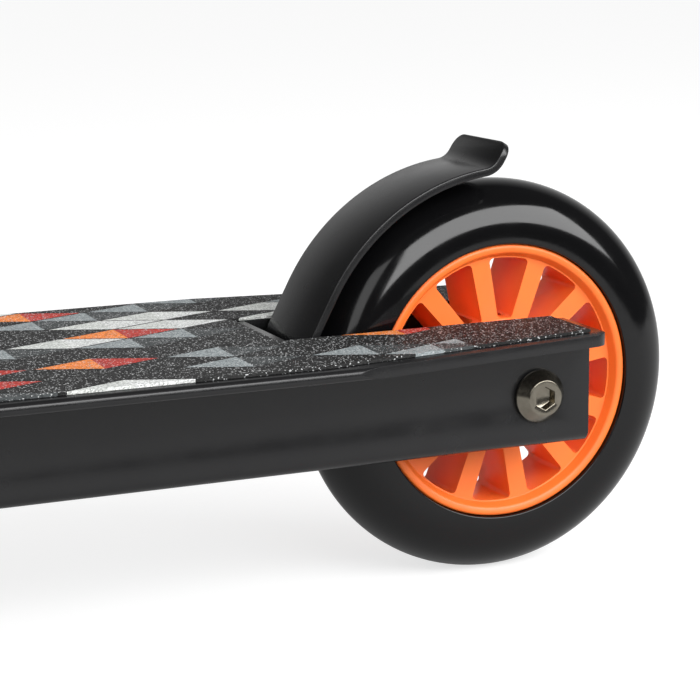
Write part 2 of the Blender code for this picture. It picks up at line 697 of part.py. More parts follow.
def make_grip_tape():
    """Tape on the deck, cut round the wheel slot and clear of the plate's edges."""
    neck_back = NECK_FOOT.x - REAR_AXLE.x - NECK_HALF_HEIGHT / math.sin(NECK_SLOPE)
    front = neck_back - TAPE_NECK_GAP
    half_width = PLATE_HALF_WIDTH - TAPE_BORDER
    slot_half = SLOT_HALF_WIDTH + TAPE_SLOT_MARGIN
    rear = DECK_REAR + TAPE_END_BORDER
    half = [
        (SLOT_FRONT + TAPE_SLOT_BORDER, slot_half),
        (rear, slot_half),
        (rear, TRIM_REAR_HALF - TAPE_BORDER),
        (TRIM_START + TAPE_TRIM_LEAD, half_width),
    ]
    corner = (front - TAPE_CORNER, half_width - TAPE_CORNER)
    half += arc(corner, TAPE_CORNER, math.pi / 2, 0, 5)
    outline = half + [(x, -y) for x, y in reversed(half)]
    lift = Vector((0, 0, DECK_TOP + TAPE_LIFT + TAPE_THICKNESS / 2))
    mesh = flat([outline], TAPE_THICKNESS, Matrix.Translation(REAR_AXLE + lift))
    place(mesh, "grip_tape", "grip_tape", REAR_AXLE)


def strip_outline(line, thickness):
    """A closed outline about a centre line of (x, z) points."""
    left = []
    right = []
    for k, (x, z) in enumerate(line):
        x0, z0 = line[max(k - 1, 0)]
        x1, z1 = line[min(k + 1, len(line) - 1)]
        length = math.hypot(x1 - x0, z1 - z0)
        nx = -(z1 - z0) / length * thickness / 2
        nz = (x1 - x0) / length * thickness / 2
        left.append((x + nx, z + nz))
        right.append((x - nx, z - nz))
    return left + right[::-1]


def bent_strip(line):
    """The fender's steel strip along a centre line in the scooter's mid-plane."""
    return flat([strip_outline(line, FENDER_THICKNESS)], 2 * FENDER_HALF_WIDTH,
                Matrix.Translation(REAR_AXLE) @ SIDE_PROFILE)


def make_brake_fender():
    """Spring strip over the wheel, with a turned-up lip that has round corners."""
    line = arc((0, 0), FENDER_MIDDLE, FENDER_ROOT_ANGLE, FENDER_TOP_ANGLE, 18)
    bend_centre = (
        (FENDER_MIDDLE + FENDER_LIP_BEND) * math.cos(FENDER_TOP_ANGLE),
        (FENDER_MIDDLE + FENDER_LIP_BEND) * math.sin(FENDER_TOP_ANGLE),
    )
    bend_start = FENDER_TOP_ANGLE + math.pi
    bend_end = FENDER_LIP_ANGLE + math.pi / 2
    line += arc(bend_centre, FENDER_LIP_BEND, bend_start, bend_end, 5)[1:]
    along = Vector((math.cos(FENDER_LIP_ANGLE), 0, math.sin(FENDER_LIP_ANGLE)))
    tip = Vector((line[-1][0], 0, line[-1][1])) + along * FENDER_LIP_LENGTH
    line.append((tip.x, tip.z))
    root = Vector((line[0][0], 0, line[0][1]))
    fender = place(bent_strip(line), "brake_fender", "black_paint", REAR_AXLE + root)
    weights = fender.data.attributes.new("bevel_weight_edge", "FLOAT", "EDGE")
    for edge in fender.data.edges:
        ends = [fender.data.vertices[k].co + root for k in edge.vertices]
        at_tip = all((end - tip).dot(along) > -EDGE_BREAK for end in ends)
        through = abs(ends[0].y - ends[1].y) < EDGE_BREAK
        if at_tip and through:
            weights.data[edge.index].value = 1
    bevel = fender.modifiers.new("Lip corners", "BEVEL")
    bevel.limit_method = "WEIGHT"
    bevel.width = FENDER_LIP_CORNER
    bevel.segments = 5


def make_fender_foot():
    """Foot of the spring strip, held on the floor of the deck by two screws."""
    top = FENDER_ROOT_ANGLE - RUNNING_GAP / FENDER_MIDDLE
    x = FENDER_MIDDLE * math.cos(top)
    bend_x = x + FOOT_BEND
    level = DECK_BOTTOM + FLOOR_THICKNESS + SEAT_GAP + FENDER_THICKNESS / 2
    line = [(x, FENDER_MIDDLE * math.sin(top))]
    line += arc((bend_x, level + FOOT_BEND), FOOT_BEND, math.pi, 1.5 * math.pi, 5)
    line.append((bend_x + FOOT_LENGTH, level))
    foot = place(bent_strip(line), "fender_foot", "black_paint", REAR_AXLE)
    for number, x in enumerate(foot_screw_places()):
        hole = rod(FOOT_SCREW_RADIUS + SEAT_GAP, (x, 0, level - CUT_MARGIN),
                   (x, 0, level + CUT_MARGIN), Matrix.Translation(REAR_AXLE), BEARING_STEPS)
        combine(foot, hole, "foot_hole_%d" % (number + 1))


def make_foot_screws():
    """Button head screws from below, each with a nut on top of the foot."""
    nut_level = FLOOR_THICKNESS + 2 * SEAT_GAP + FENDER_THICKNESS
    nut_top = nut_level + FOOT_NUT_HEIGHT
    top = nut_top + EDGE_ROUND
    face = -SEAT_GAP - FOOT_SCREW_HEAD_HEIGHT
    profile = [
        (0, top),
        (FOOT_SCREW_RADIUS - EDGE_BREAK, top),
        (FOOT_SCREW_RADIUS, top - EDGE_BREAK),
        (FOOT_SCREW_RADIUS, -SEAT_GAP),
        (FOOT_SCREW_HEAD_RADIUS, -SEAT_GAP),
        (FOOT_SCREW_HEAD_RADIUS - EDGE_ROUND, face + EDGE_BREAK),
        (FOOT_SCREW_HEAD_RADIUS - 2 * EDGE_ROUND, face),
        (0, face),
    ]
    for number, x in enumerate(foot_screw_places()):
        point = REAR_AXLE + Vector((x, 0, DECK_BOTTOM))
        spot = Matrix.Translation(point)
        name = "fender_screw_%d" % (number + 1)
        screw = place(turned(profile, SCREW_STEPS, spot, closed=False), name, "bolt_steel", point)
        socket = hexagon_rod(FOOT_SCREW_SOCKET_FLATS, (0, 0, face - CUT_MARGIN),
                             (0, 0, face + FOOT_SCREW_SOCKET_DEPTH), spot)
        combine(screw, socket, name + "_socket")
        name = "fender_nut_%d" % (number + 1)
        nut_mesh = hexagon_rod(FOOT_NUT_FLATS, (0, 0, nut_level), (0, 0, nut_top), spot)
        nut = place(nut_mesh, name, "bolt_steel", point)
        hole = rod(FOOT_SCREW_RADIUS + SEAT_GAP, (0, 0, nut_level - CUT_MARGIN),
                   (0, 0, nut_top + CUT_MARGIN), spot, BEARING_STEPS)
        combine(nut, hole, name + "_bore")


def make_neck():
    """Hollow box tube, fish-mouthed on the head tube and cut level on the deck."""
    along = (NECK_FOOT - NECK_START).normalized()
    end = NECK_FOOT + along * 2 * NECK_HALF_HEIGHT
    up = along.cross(Vector((0, 1, 0)))
    turn = Matrix((
        (0, up.x, along.x, 0),
        (1, up.y, along.y, 0),
        (0, up.z, along.z, 0),
        (0, 0, 0, 1),
    ))
    outside = rounded_box(NECK_HALF_WIDTH, NECK_HALF_HEIGHT, NECK_CORNER)
    inside = rounded_box(NECK_HALF_WIDTH - NECK_WALL, NECK_HALF_HEIGHT - NECK_WALL,
                         NECK_CORNER - NECK_WALL)
    middle = Matrix.Translation((NECK_START + end) / 2)
    mesh = flat([outside, inside], (end - NECK_START).length, middle @ turn)
    neck = place(mesh, "neck", "black_paint", NECK_FOOT)
    mouth = rod(HEAD_TUBE_RADIUS + SEAT_GAP, (0, 0, HEAD_TUBE_START - CUT_MARGIN),
                (0, 0, HEAD_TUBE_END + CUT_MARGIN), IN_STEERING, 2 * TUBE_STEPS)
    combine(neck, mouth, "neck_mouth")
    reach = 4 * NECK_HALF_HEIGHT
    below = block((-reach, -reach, -reach), (reach, reach, SEAT_GAP),
                  Matrix.Translation(NECK_FOOT))
    combine(neck, below, "neck_level")


def make_nose_plate():
    """Plate that closes the front of the extrusion."""
    top = DECK_TOP - PLATE_THICKNESS
    outline = rounded_box(WALL_OUTER, (top - DECK_BOTTOM) / 2, LOWER_CORNER)
    middle = Vector((DECK_FRONT + SEAT_GAP + NOSE_THICKNESS / 2, 0, (top + DECK_BOTTOM) / 2))
    mesh = flat([outline], NOSE_THICKNESS,
                Matrix.Translation(REAR_AXLE + middle) @ SECTION_ALONG_X)
    place(mesh, "nose_plate", "black_paint", REAR_AXLE + middle)


def make_neck_gusset():
    """Plate in the angle between the neck's underside and the deck's nose."""
    nose = REAR_AXLE.x + DECK_FRONT + NOSE_THICKNESS + 2 * SEAT_GAP
    under = NECK_FOOT.x + (NECK_HALF_HEIGHT + SEAT_GAP) / math.sin(NECK_SLOPE)
    toe = REAR_AXLE.z + DECK_BOTTOM + GUSSET_TOE_RISE
    outline = [
        (nose, NECK_FOOT.z + (nose - under) * math.tan(NECK_SLOPE)),
        (under + GUSSET_REACH * math.cos(NECK_SLOPE),
         NECK_FOOT.z + GUSSET_REACH * math.sin(NECK_SLOPE)),
        (nose + GUSSET_TOE, toe + GUSSET_TOE),
        (nose, toe),
    ]
    mesh = flat([outline], 2 * GUSSET_HALF_WIDTH, SIDE_PROFILE)
    place(mesh, "neck_gusset", "black_paint", NECK_FOOT)


def make_head_tube():
    """Head tube with a seat for a bearing at each end."""
    seat = HEADSET_RADIUS + SEAT_GAP
    depth = HEADSET_BEARING_HEIGHT + SEAT_GAP
    bore = STEERER_RADIUS + HEAD_TUBE_CLEARANCE
    profile = [
        (seat, HEAD_TUBE_START),
        (HEAD_TUBE_RADIUS - EDGE_ROUND, HEAD_TUBE_START),
        (HEAD_TUBE_RADIUS, HEAD_TUBE_START + EDGE_ROUND),
        (HEAD_TUBE_RADIUS, HEAD_TUBE_END - EDGE_ROUND),
        (HEAD_TUBE_RADIUS - EDGE_ROUND, HEAD_TUBE_END),
        (seat, HEAD_TUBE_END),
        (seat, HEAD_TUBE_END - depth),
        (bore, HEAD_TUBE_END - depth),
        (bore, HEAD_TUBE_START + depth),
        (seat, HEAD_TUBE_START + depth),
    ]
    place(turned(profile, HEADSET_STEPS, IN_STEERING), "head_tube", "black_paint", STEER_BASE)


def make_headset():
    """Two bearings, the race on the crown and the cap over the top bearing."""
    inner = STEERER_RADIUS + HEADSET_FIT
    levels = {
        "lower": (HEAD_TUBE_START, HEAD_TUBE_START + HEADSET_BEARING_HEIGHT),
        "upper": (HEAD_TUBE_END - HEADSET_BEARING_HEIGHT, HEAD_TUBE_END),
    }
    for word, faces in levels.items():
        ring("headset_%s_cup_race" % word, "bearing_steel",
             (HEADSET_SPLIT + RUNNING_GAP / 2, HEADSET_RADIUS), faces, IN_STEERING,
             STEER_BASE, HEADSET_STEPS)
        ring("headset_%s_stem_race" % word, "bearing_steel",
             (inner, HEADSET_SPLIT - RUNNING_GAP / 2), faces, IN_STEERING,
             STEER_BASE, HEADSET_STEPS)
    race_top = HEAD_TUBE_START - SEAT_GAP
    profile = [
        (inner, FORK_CROWN_TOP + SEAT_GAP),
        (HEADSET_SPLIT + CROWN_RACE_PROUD, FORK_CROWN_TOP + SEAT_GAP),
        (HEADSET_SPLIT - RUNNING_GAP, race_top),
        (inner, race_top),
    ]
    place(turned(profile, HEADSET_STEPS, IN_STEERING), "crown_race", "bearing_steel", STEER_BASE)
    start = HEAD_TUBE_END + RUNNING_GAP
    profile = [
        (inner, start),
        (HEAD_TUBE_RADIUS - EDGE_BREAK, start),
        (HEAD_TUBE_RADIUS - EDGE_BREAK, start + CAP_RIM_HEIGHT),
        (BAR_RADIUS + CAP_SHOULDER, start + CAP_HEIGHT),
        (inner, start + CAP_HEIGHT),
    ]
    place(turned(profile, HEADSET_STEPS, IN_STEERING), "headset_cap", "black_plastic", STEER_BASE)


def fork_leg_outline():
    """A leg seen from the side: wide under the crown, round at the dropout."""
    top = FORK_CROWN_TOP - FORK_LEG_SHOULDER
    outline = [(-FORK_LEG_TOP_HALF, top)]
    outline += arc((FORK_OFFSET, 0), FORK_LEG_END_RADIUS, math.radians(160), math.radians(380), 9)
    outline.append((FORK_LEG_TOP_HALF, top))
    return outline


def make_fork():
    """Crown, two legs and a steerer tube as one welded piece."""
    outline = rounded_box(FORK_CROWN_HALF_LENGTH, FORK_LEG_OUTER + FORK_CROWN_OVERLAP,
                          FORK_CROWN_CORNER)
    lift = Matrix.Translation((0, 0, (FORK_CROWN_TOP + FORK_CROWN_START) / 2))
    fork = place(flat([outline], FORK_CROWN_HEIGHT, IN_STEERING @ lift), "fork", "black_paint",
                 STEER_BASE)
    for side, word in ((1, "left"), (-1, "right")):
        shift = Matrix.Translation((0, side * (FORK_LEG_INNER + FORK_LEG_OUTER) / 2, 0))
        leg = flat([fork_leg_outline()], FORK_LEG_THICKNESS, IN_STEERING @ shift @ SIDE_PROFILE)
        combine(fork, leg, "fork_leg_" + word, "UNION")
    steerer = rod(STEERER_RADIUS, (0, 0, FORK_CROWN_TOP - STEERER_SINK), (0, 0, STEERER_TOP),
                  IN_STEERING)
    combine(fork, steerer, "steerer", "UNION")
    bore = rod(STEERER_RADIUS - STEERER_WALL, (0, 0, FORK_CROWN_TOP + STEERER_FLOOR),
               (0, 0, STEERER_TOP + CUT_MARGIN), IN_STEERING)
    combine(fork, bore, "steerer_bore")
    reach = FORK_LEG_OUTER + 2 * CUT_MARGIN
    holes = rod(AXLE_RADIUS + AXLE_FIT, (FORK_OFFSET, -reach, 0), (FORK_OFFSET, reach, 0),
                IN_STEERING, BEARING_STEPS)
    combine(fork, holes, "fork_axle_holes")


def make_shim():
    """Split sleeve on the steerer; the bar stands on its flange."""
    inner = STEERER_RADIUS + HEADSET_FIT
    flange_top = SHIM_START + SHIM_FLANGE
    profile = [
        (inner, SHIM_START),
        (BAR_RADIUS, SHIM_START),
        (BAR_RADIUS, flange_top),
        (SHIM_RADIUS, flange_top),
        (SHIM_RADIUS, SHIM_TOP),
        (inner, SHIM_TOP),
    ]
    mesh = turned(profile, HEADSET_STEPS, IN_STEERING)
    shim = place(mesh, "steerer_shim", "bearing_steel", STEER_BASE)
    slit = block((-2 * BAR_RADIUS, -BAR_SLIT_WIDTH / 2, SHIM_START - CUT_MARGIN),
                 (0, BAR_SLIT_WIDTH / 2, SHIM_TOP + CUT_MARGIN), IN_STEERING)
    combine(shim, slit, "shim_slit")


def make_compression_bolt():
    """Cap on the shim, with a screw into the steerer's star nut: it loads the headset."""
    start = SHIM_TOP + SEAT_GAP
    cap_top = start + STEERER_CAP_HEIGHT
    head_top = cap_top + CAP_SCREW_HEAD_HEIGHT
    profile = [
        (0, head_top),
        (CAP_SCREW_HEAD_RADIUS, head_top),
        (CAP_SCREW_HEAD_RADIUS, cap_top),
        (SHIM_RADIUS - EDGE_BREAK, cap_top),
        (SHIM_RADIUS - EDGE_BREAK, start),
        (CAP_SCREW_RADIUS, start),
        (CAP_SCREW_RADIUS, start - CAP_SCREW_LENGTH),
        (0, start - CAP_SCREW_LENGTH),
    ]
    mesh = turned(profile, RING_STEPS, IN_STEERING, closed=False)
    bolt = place(mesh, "compression_bolt", "bolt_steel", STEER_BASE)
    socket = hexagon_rod(CAP_SCREW_SOCKET_FLATS, (0, 0, head_top - CAP_SCREW_SOCKET_DEPTH),
                         (0, 0, head_top + CUT_MARGIN), IN_STEERING)
    combine(bolt, socket, "compression_socket")
    nut_start = start - STAR_NUT_DEPTH
    ring("star_nut", "bolt_steel",
         (CAP_SCREW_RADIUS + SEAT_GAP, STEERER_RADIUS - STEERER_WALL - SEAT_GAP),
         (nut_start, nut_start + STAR_NUT_HEIGHT), IN_STEERING, STEER_BASE)


def make_handlebar():
    """Riser, crossbar and two braces, bored for the steerer and for the plugs."""
    riser_top = CROSSBAR_HEIGHT + CROSSBAR_RADIUS + RISER_CAP
    riser = rod(BAR_RADIUS, (0, 0, BAR_BOTTOM), (0, 0, riser_top), IN_STEERING)
    bar = place(riser, "handlebar", "black_paint", STEER_BASE)
    crossbar = rod(CROSSBAR_RADIUS, (0, -CROSSBAR_HALF_LENGTH, CROSSBAR_HEIGHT),
                   (0, CROSSBAR_HALF_LENGTH, CROSSBAR_HEIGHT), IN_STEERING)
    combine(bar, crossbar, "crossbar", "UNION")
    for side, word in ((1, "left"), (-1, "right")):
        brace = rod(BRACE_RADIUS, (0, 0, CROSSBAR_HEIGHT - BRACE_DROP),
                    (0, side * BRACE_REACH, CROSSBAR_HEIGHT), IN_STEERING, BEARING_STEPS)
        combine(bar, brace, "brace_" + word, "UNION")
    bore = rod(BAR_BORE, (0, 0, BAR_BOTTOM - CUT_MARGIN),
               (0, 0, CROSSBAR_HEIGHT - CROSSBAR_RADIUS - RISER_CAP), IN_STEERING)
    combine(bar, bore, "bar_bore")
    for side, word in ((1, "left"), (-1, "right")):
        hollow = rod(CROSSBAR_BORE, (0, side * CROSSBAR_CORE, CROSSBAR_HEIGHT),
                     (0, side * (CROSSBAR_HALF_LENGTH + CUT_MARGIN), CROSSBAR_HEIGHT),
                     IN_STEERING)
        combine(bar, hollow, "crossbar_bore_" + word)
    slit = block((-2 * BAR_RADIUS, -BAR_SLIT_WIDTH / 2, BAR_BOTTOM - CUT_MARGIN),
                 (0, BAR_SLIT_WIDTH / 2, BAR_BOTTOM + BAR_SLIT_LENGTH), IN_STEERING)
    combine(bar, slit, "bar_slit")


def make_clamp():
    """Split collar round the bar's foot, with two ears and two cross bolts."""
    start = BAR_BOTTOM + CLAMP_RISE
    half_slot = CLAMP_SLOT_WIDTH / 2
    ear = CLAMP_EAR_HALF_WIDTH
    end = CLAMP_RADIUS + CLAMP_EAR_LENGTH
    ear_angle = math.asin(ear / CLAMP_RADIUS)
    slot_angle = math.asin(half_slot / CLAMP_BORE)
    outline = arc((0, 0), CLAMP_RADIUS, math.pi + ear_angle, 3 * math.pi - ear_angle, 20)
    outline += [(-end + CLAMP_EAR_EDGE, ear), (-end, ear - CLAMP_EAR_EDGE), (-end, half_slot)]
    outline += arc((0, 0), CLAMP_BORE, 3 * math.pi - slot_angle, math.pi + slot_angle, 24)
    outline += [(-end, -half_slot), (-end, -ear + CLAMP_EAR_EDGE), (-end + CLAMP_EAR_EDGE, -ear)]
    lift = Matrix.Translation((0, 0, start + CLAMP_HEIGHT / 2))
    clamp = place(flat([outline], CLAMP_HEIGHT, IN_STEERING @ lift), "bar_clamp", "black_paint",
                  STEER_BASE)
    head = ear + SEAT_GAP
    face = head + CLAMP_BOLT_HEAD_HEIGHT
    tail = -ear - CLAMP_BOLT_TAIL
    profile = [
        (0, face),
        (CLAMP_BOLT_HEAD_RADIUS - EDGE_BREAK, face),
        (CLAMP_BOLT_HEAD_RADIUS, face - EDGE_BREAK),
        (CLAMP_BOLT_HEAD_RADIUS, head),
        (CLAMP_BOLT_RADIUS, head),
        (CLAMP_BOLT_RADIUS, tail),
        (0, tail),
    ]
    for number, share in enumerate(CLAMP_BOLT_LEVELS):
        name = "clamp_bolt_%d" % (number + 1)
        place_on_ear = (-(CLAMP_RADIUS + end) / 2, 0, start + share * CLAMP_HEIGHT)
        spot = IN_STEERING @ Matrix.Translation(place_on_ear) @ TURN_TO_Y
        hole = rod(CLAMP_BOLT_RADIUS + SEAT_GAP, (0, 0, -2 * ear), (0, 0, 2 * ear), spot,
                   BEARING_STEPS)
        combine(clamp, hole, name + "_hole")
        mesh = turned(profile, SCREW_STEPS, spot, closed=False)
        bolt = place(mesh, name, "bolt_steel", STEER_BASE)
        socket = hexagon_rod(CLAMP_BOLT_SOCKET_FLATS, (0, 0, face - CLAMP_BOLT_SOCKET_DEPTH),
                             (0, 0, face + CUT_MARGIN), spot)
        combine(bolt, socket, name + "_socket")


def grip_profile():
    """Half section of a grip: flange, ribs with grooves between them, plain end."""
    inner = CROSSBAR_RADIUS + GRIP_FIT
    start = CROSSBAR_HALF_LENGTH - GRIP_LENGTH
    end = CROSSBAR_HALF_LENGTH - GRIP_END_GAP
    first_rib = start + GRIP_FLANGE_WIDTH + GRIP_PLAIN
    pitch = (end - GRIP_PLAIN - first_rib) / GRIP_RIBS
    profile = [
        (inner, start),
        (GRIP_FLANGE_RADIUS - EDGE_ROUND, start),
        (GRIP_FLANGE_RADIUS, start + EDGE_ROUND),
        (GRIP_FLANGE_RADIUS - EDGE_ROUND, start + GRIP_FLANGE_WIDTH),
        (GRIP_RADIUS, start + GRIP_FLANGE_WIDTH + EDGE_ROUND),
    ]
    for k in range(GRIP_RIBS):
        groove = first_rib + k * pitch + pitch / 2
        profile += [
            (GRIP_RADIUS, groove - GRIP_GROOVE_WIDTH / 2),
            (GRIP_RADIUS - GRIP_GROOVE, groove),
            (GRIP_RADIUS, groove + GRIP_GROOVE_WIDTH / 2),
        ]
    return profile + [(GRIP_RADIUS, end - EDGE_ROUND), (GRIP_RADIUS - EDGE_ROUND, end), (inner, end)]


def make_grips():
    """A ribbed grip and a bar end plug on each side."""
    stem = CROSSBAR_BORE - SEAT_GAP
    base = CROSSBAR_HALF_LENGTH + SEAT_GAP
    face = base + PLUG_FLANGE
    plug = [
        (0, face),
        (GRIP_RADIUS - PLUG_CROWN, face),
        (GRIP_RADIUS, face - PLUG_CROWN),
        (GRIP_RADIUS, base),
        (stem, base),
        (stem, base - PLUG_STEM_LENGTH),
        (0, base - PLUG_STEM_LENGTH),
    ]
    spot = IN_STEERING @ Matrix.Translation((0, 0, CROSSBAR_HEIGHT)) @ TURN_TO_Y
    for side, word in ((1, "left"), (-1, "right")):
        mesh = turned([(r, side * h) for r, h in grip_profile()], GRIP_STEPS, spot)
        place(mesh, "grip_" + word, "black_rubber", STEER_BASE)
        mesh = turned([(r, side * h) for r, h in plug], GRIP_STEPS, spot, closed=False)
        place(mesh, "bar_end_plug_" + word, "black_rubber", STEER_BASE)


def build():
    """Make every sub-part in its place."""
    clear_scene()
    make_deck()
    make_grip_tape()
    make_brake_fender()
    make_fender_foot()
    make_foot_screws()
    make_neck()
    make_nose_plate()
    make_neck_gusset()
    make_head_tube()
    make_headset()
    make_fork()
    make_shim()
    make_compression_bolt()
    make_handlebar()
    make_clamp()
    make_grips()
    for prefix, axle in (("rear", REAR_AXLE), ("front", FRONT_AXLE)):
        wheel_core(prefix + "_wheel_core", axle)
        wheel_tyre(prefix + "_tyre", axle)
        wheel_bearings(prefix, axle)
    axle_set("rear", REAR_AXLE, WALL_OUTER, WEB_INNER)
    axle_set("front", FRONT_AXLE, FORK_LEG_OUTER, FORK_LEG_INNER)


build()
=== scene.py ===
import json
import math

import bmesh
import bpy
from mathutils import Matrix, Vector


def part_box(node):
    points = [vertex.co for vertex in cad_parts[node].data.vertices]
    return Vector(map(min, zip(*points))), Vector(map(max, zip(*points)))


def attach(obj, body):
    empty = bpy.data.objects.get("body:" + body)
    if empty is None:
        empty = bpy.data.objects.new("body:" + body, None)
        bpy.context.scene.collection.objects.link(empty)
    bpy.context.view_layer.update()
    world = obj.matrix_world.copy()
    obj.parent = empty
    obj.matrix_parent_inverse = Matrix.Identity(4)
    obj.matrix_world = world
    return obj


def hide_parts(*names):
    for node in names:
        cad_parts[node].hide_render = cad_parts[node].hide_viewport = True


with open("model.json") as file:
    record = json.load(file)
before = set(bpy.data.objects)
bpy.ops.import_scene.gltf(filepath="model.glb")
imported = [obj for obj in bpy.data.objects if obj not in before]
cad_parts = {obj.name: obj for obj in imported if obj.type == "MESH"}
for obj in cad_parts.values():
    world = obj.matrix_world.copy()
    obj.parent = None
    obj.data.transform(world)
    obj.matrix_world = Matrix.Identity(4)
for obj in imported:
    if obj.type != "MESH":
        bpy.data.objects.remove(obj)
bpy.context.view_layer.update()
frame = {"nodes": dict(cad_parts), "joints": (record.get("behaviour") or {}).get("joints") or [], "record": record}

mm = 0.001

# places that come from the frame
joints = {joint["name"]: joint for joint in frame["joints"]}
rearAxle = Vector(joints["rear_wheel_spin"]["pos_m"])
frontAxle = Vector(joints["front_wheel_spin"]["pos_m"])
steerBase = Vector(joints["steering_turn"]["pos_m"])
steerAxis = Vector(joints["steering_turn"]["axis"]).normalized()
steerTurn = Matrix.Rotation(math.atan2(steerAxis.x, steerAxis.z), 4, "Y")
inSteering = Matrix.Translation(steerBase) @ steerTurn
axleTurn = Matrix.Rotation(math.radians(-90), 4, "X")
deckLow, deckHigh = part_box("deck")


# modelling by hand, step by step
def onlySelect(piece):
    bpy.ops.object.select_all(action="DESELECT")
    piece.select_set(True)
    bpy.context.view_layer.objects.active = piece


def settle(piece, space=None):
    # the place goes into the mesh, and the object stays at the origin
    if space is not None:
        piece.matrix_world = space @ piece.matrix_world
    onlySelect(piece)
    bpy.ops.object.transform_apply(location=True, rotation=True, scale=True)
    return piece


def newest(name):
    piece = bpy.context.object
    piece.name = name
    piece.data.name = name
    return settle(piece)


def addBox(name, low, high):
    middle = [(a + b) / 2 for a, b in zip(low, high)]
    size = [b - a for a, b in zip(low, high)]
    bpy.ops.mesh.primitive_cube_add(size=1, location=middle, scale=size)
    return newest(name)


def addRod(name, radius, start, end, sides=64):
    start = Vector(start)
    end = Vector(end)
    span = end - start
    bpy.ops.mesh.primitive_cylinder_add(
        vertices=sides, radius=radius, depth=span.length, location=(start + end) / 2,
        rotation=span.to_track_quat("Z", "Y").to_euler())
    return newest(name)


def addPost(name, radius, start, end, sides=64):
    # a rod along Z, in millimetres
    return addRod(name, radius * mm, (0, 0, start * mm), (0, 0, end * mm), sides)


def addHexagon(name, flats, start, end):
    return addPost(name, flats / 2 / math.cos(math.pi / 6), start, end, 6)


def editStart(piece, kind=None, action="SELECT"):
    onlySelect(piece)
    bpy.ops.object.mode_set(mode="EDIT")
    if kind:
        bpy.ops.mesh.select_mode(type=kind)
    bpy.ops.mesh.select_all(action=action)


def choose(piece, kind, test):
    # points or edges are picked in edit mode by where they are
    editStart(piece, kind, "DESELECT")
    shell = bmesh.from_edit_mesh(piece.data)
    for part in {"VERT": shell.verts, "EDGE": shell.edges}[kind]:
        if test(part):
            part.select_set(True)
    shell.select_flush_mode()
    bmesh.update_edit_mesh(piece.data)


def editDone():
    bpy.ops.object.mode_set(mode="OBJECT")


def bevelEdges(piece, width, segments, test):
    choose(piece, "EDGE", test)
    bpy.ops.mesh.bevel(offset=width, segments=segments, affect="EDGES")
    editDone()


def runsAlong(axis, *more):
    # edges that run along X, Y or Z (0, 1, 2) and pass the other tests
    def test(edge):
        span = edge.verts[1].co - edge.verts[0].co
        middle = (edge.verts[1].co + edge.verts[0].co) / 2
        return abs(span[axis]) > 0.9 * span.length and all(check(middle) for check in more)
    return test


def sliceOff(piece, point, normal):
    # what lies on the normal's side is cut away, and the cut is closed
    editStart(piece)
    bpy.ops.mesh.bisect(plane_co=point, plane_no=normal, use_fill=True, clear_outer=True)
    editDone()


def trimRear(piece, rear, front, wide, narrow):
    # both edges run in from the wide half width at the front to the narrow one at the rear
    for side in (1, -1):
        run = Vector((front - rear, side * (wide - narrow), 0))
        sliceOff(piece, (front, side * wide, 0), Vector((-side * run.y, side * run.x, 0)))


def combine(piece, tool, operation="DIFFERENCE"):
    modifier = piece.modifiers.new("Cut", "BOOLEAN")
    modifier.operation = operation
    modifier.solver = "EXACT"
    modifier.object = tool
    onlySelect(piece)
    bpy.ops.object.modifier_apply(modifier=modifier.name)
    bpy.data.objects.remove(tool, do_unlink=True)


def breakEdges(piece, width, segments=2, angle=40):
    modifier = piece.modifiers.new("Edges", "BEVEL")
    modifier.width = width
    modifier.segments = segments
    modifier.limit_method = "ANGLE"
    modifier.angle_limit = math.radians(angle)
    onlySelect(piece)
    bpy.ops.object.modifier_apply(modifier=modifier.name)


def joined(pieces):
    onlySelect(pieces[0])
    for piece in pieces:
        piece.select_set(True)
    bpy.ops.object.join()
    return pieces[0]


def addObject(name, data):
    made = bpy.data.objects.new(name, data)
    bpy.context.scene.collection.objects.link(made)
    return made


def copied(piece, name, move):
    twin = addObject(name, piece.data.copy())
    twin.data.name = name
    twin.data.transform(move)
    return twin


def sized(points):
    # a profile in millimetres
    return [tuple(value * mm for value in point) for point in points]


def rounded(points, closed=False, steps=4):
    # a corner given as (x, y, radius) becomes an arc
    result = []
    for k, point in enumerate(points):
        here = Vector(point[:2])
        isEnd = not closed and k in (0, len(points) - 1)
        if len(point) < 3 or isEnd:
            result.append(tuple(here))
            continue
        radius = point[2]
        before = (Vector(points[k - 1][:2]) - here).normalized()
        after = (Vector(points[(k + 1) % len(points)][:2]) - here).normalized()
        half = before.angle(after) / 2
        centre = here + (before + after).normalized() * radius / math.sin(half)
        first = here + before * radius / math.tan(half) - centre
        last = here + after * radius / math.tan(half) - centre
        turn = first.angle_signed(last)
        for step in range(steps + 1):
            spoke = first.copy()
            spoke.rotate(Matrix.Rotation(-turn * step / steps, 2))
            result.append(tuple(centre + spoke))
    return result


def mirrored(half):
    # the other half follows in the opposite order, without the points in the middle plane
    return half + [(radius, -height) for radius, height in reversed(half) if height]


def turned(name, profile, sides=96, ring=True):
    # a circle is extruded and scaled from step to step of the profile
    radius, height = profile[0]
    bpy.ops.mesh.primitive_circle_add(vertices=sides, radius=radius, location=(0, 0, height))
    piece = newest(name)
    editStart(piece, "EDGE")
    for wide, high in profile[1:]:
        bpy.ops.mesh.extrude_edges_move(TRANSFORM_OT_translate={"value": (0, 0, high - height)})
        if wide != radius:
            share = wide / radius
            bpy.ops.transform.resize(value=(share, share, 1), center_override=(0, 0, 0))
        radius, height = wide, high
    editDone()
    choose(piece, "EDGE", lambda edge: edge.is_boundary)
    if ring:
        bpy.ops.mesh.bridge_edge_loops()
    else:
        bpy.ops.mesh.fill_holes(sides=0)
    editDone()
    return piece


def lathe(name, points, sides=96, ring=True):
    # a profile in millimetres gets its rounded corners and is turned
    return turned(name, rounded(sized(points), closed=ring), sides, ring)


weld = {"pulse": 1.9, "spacing": 0.55, "swell": 0.16}


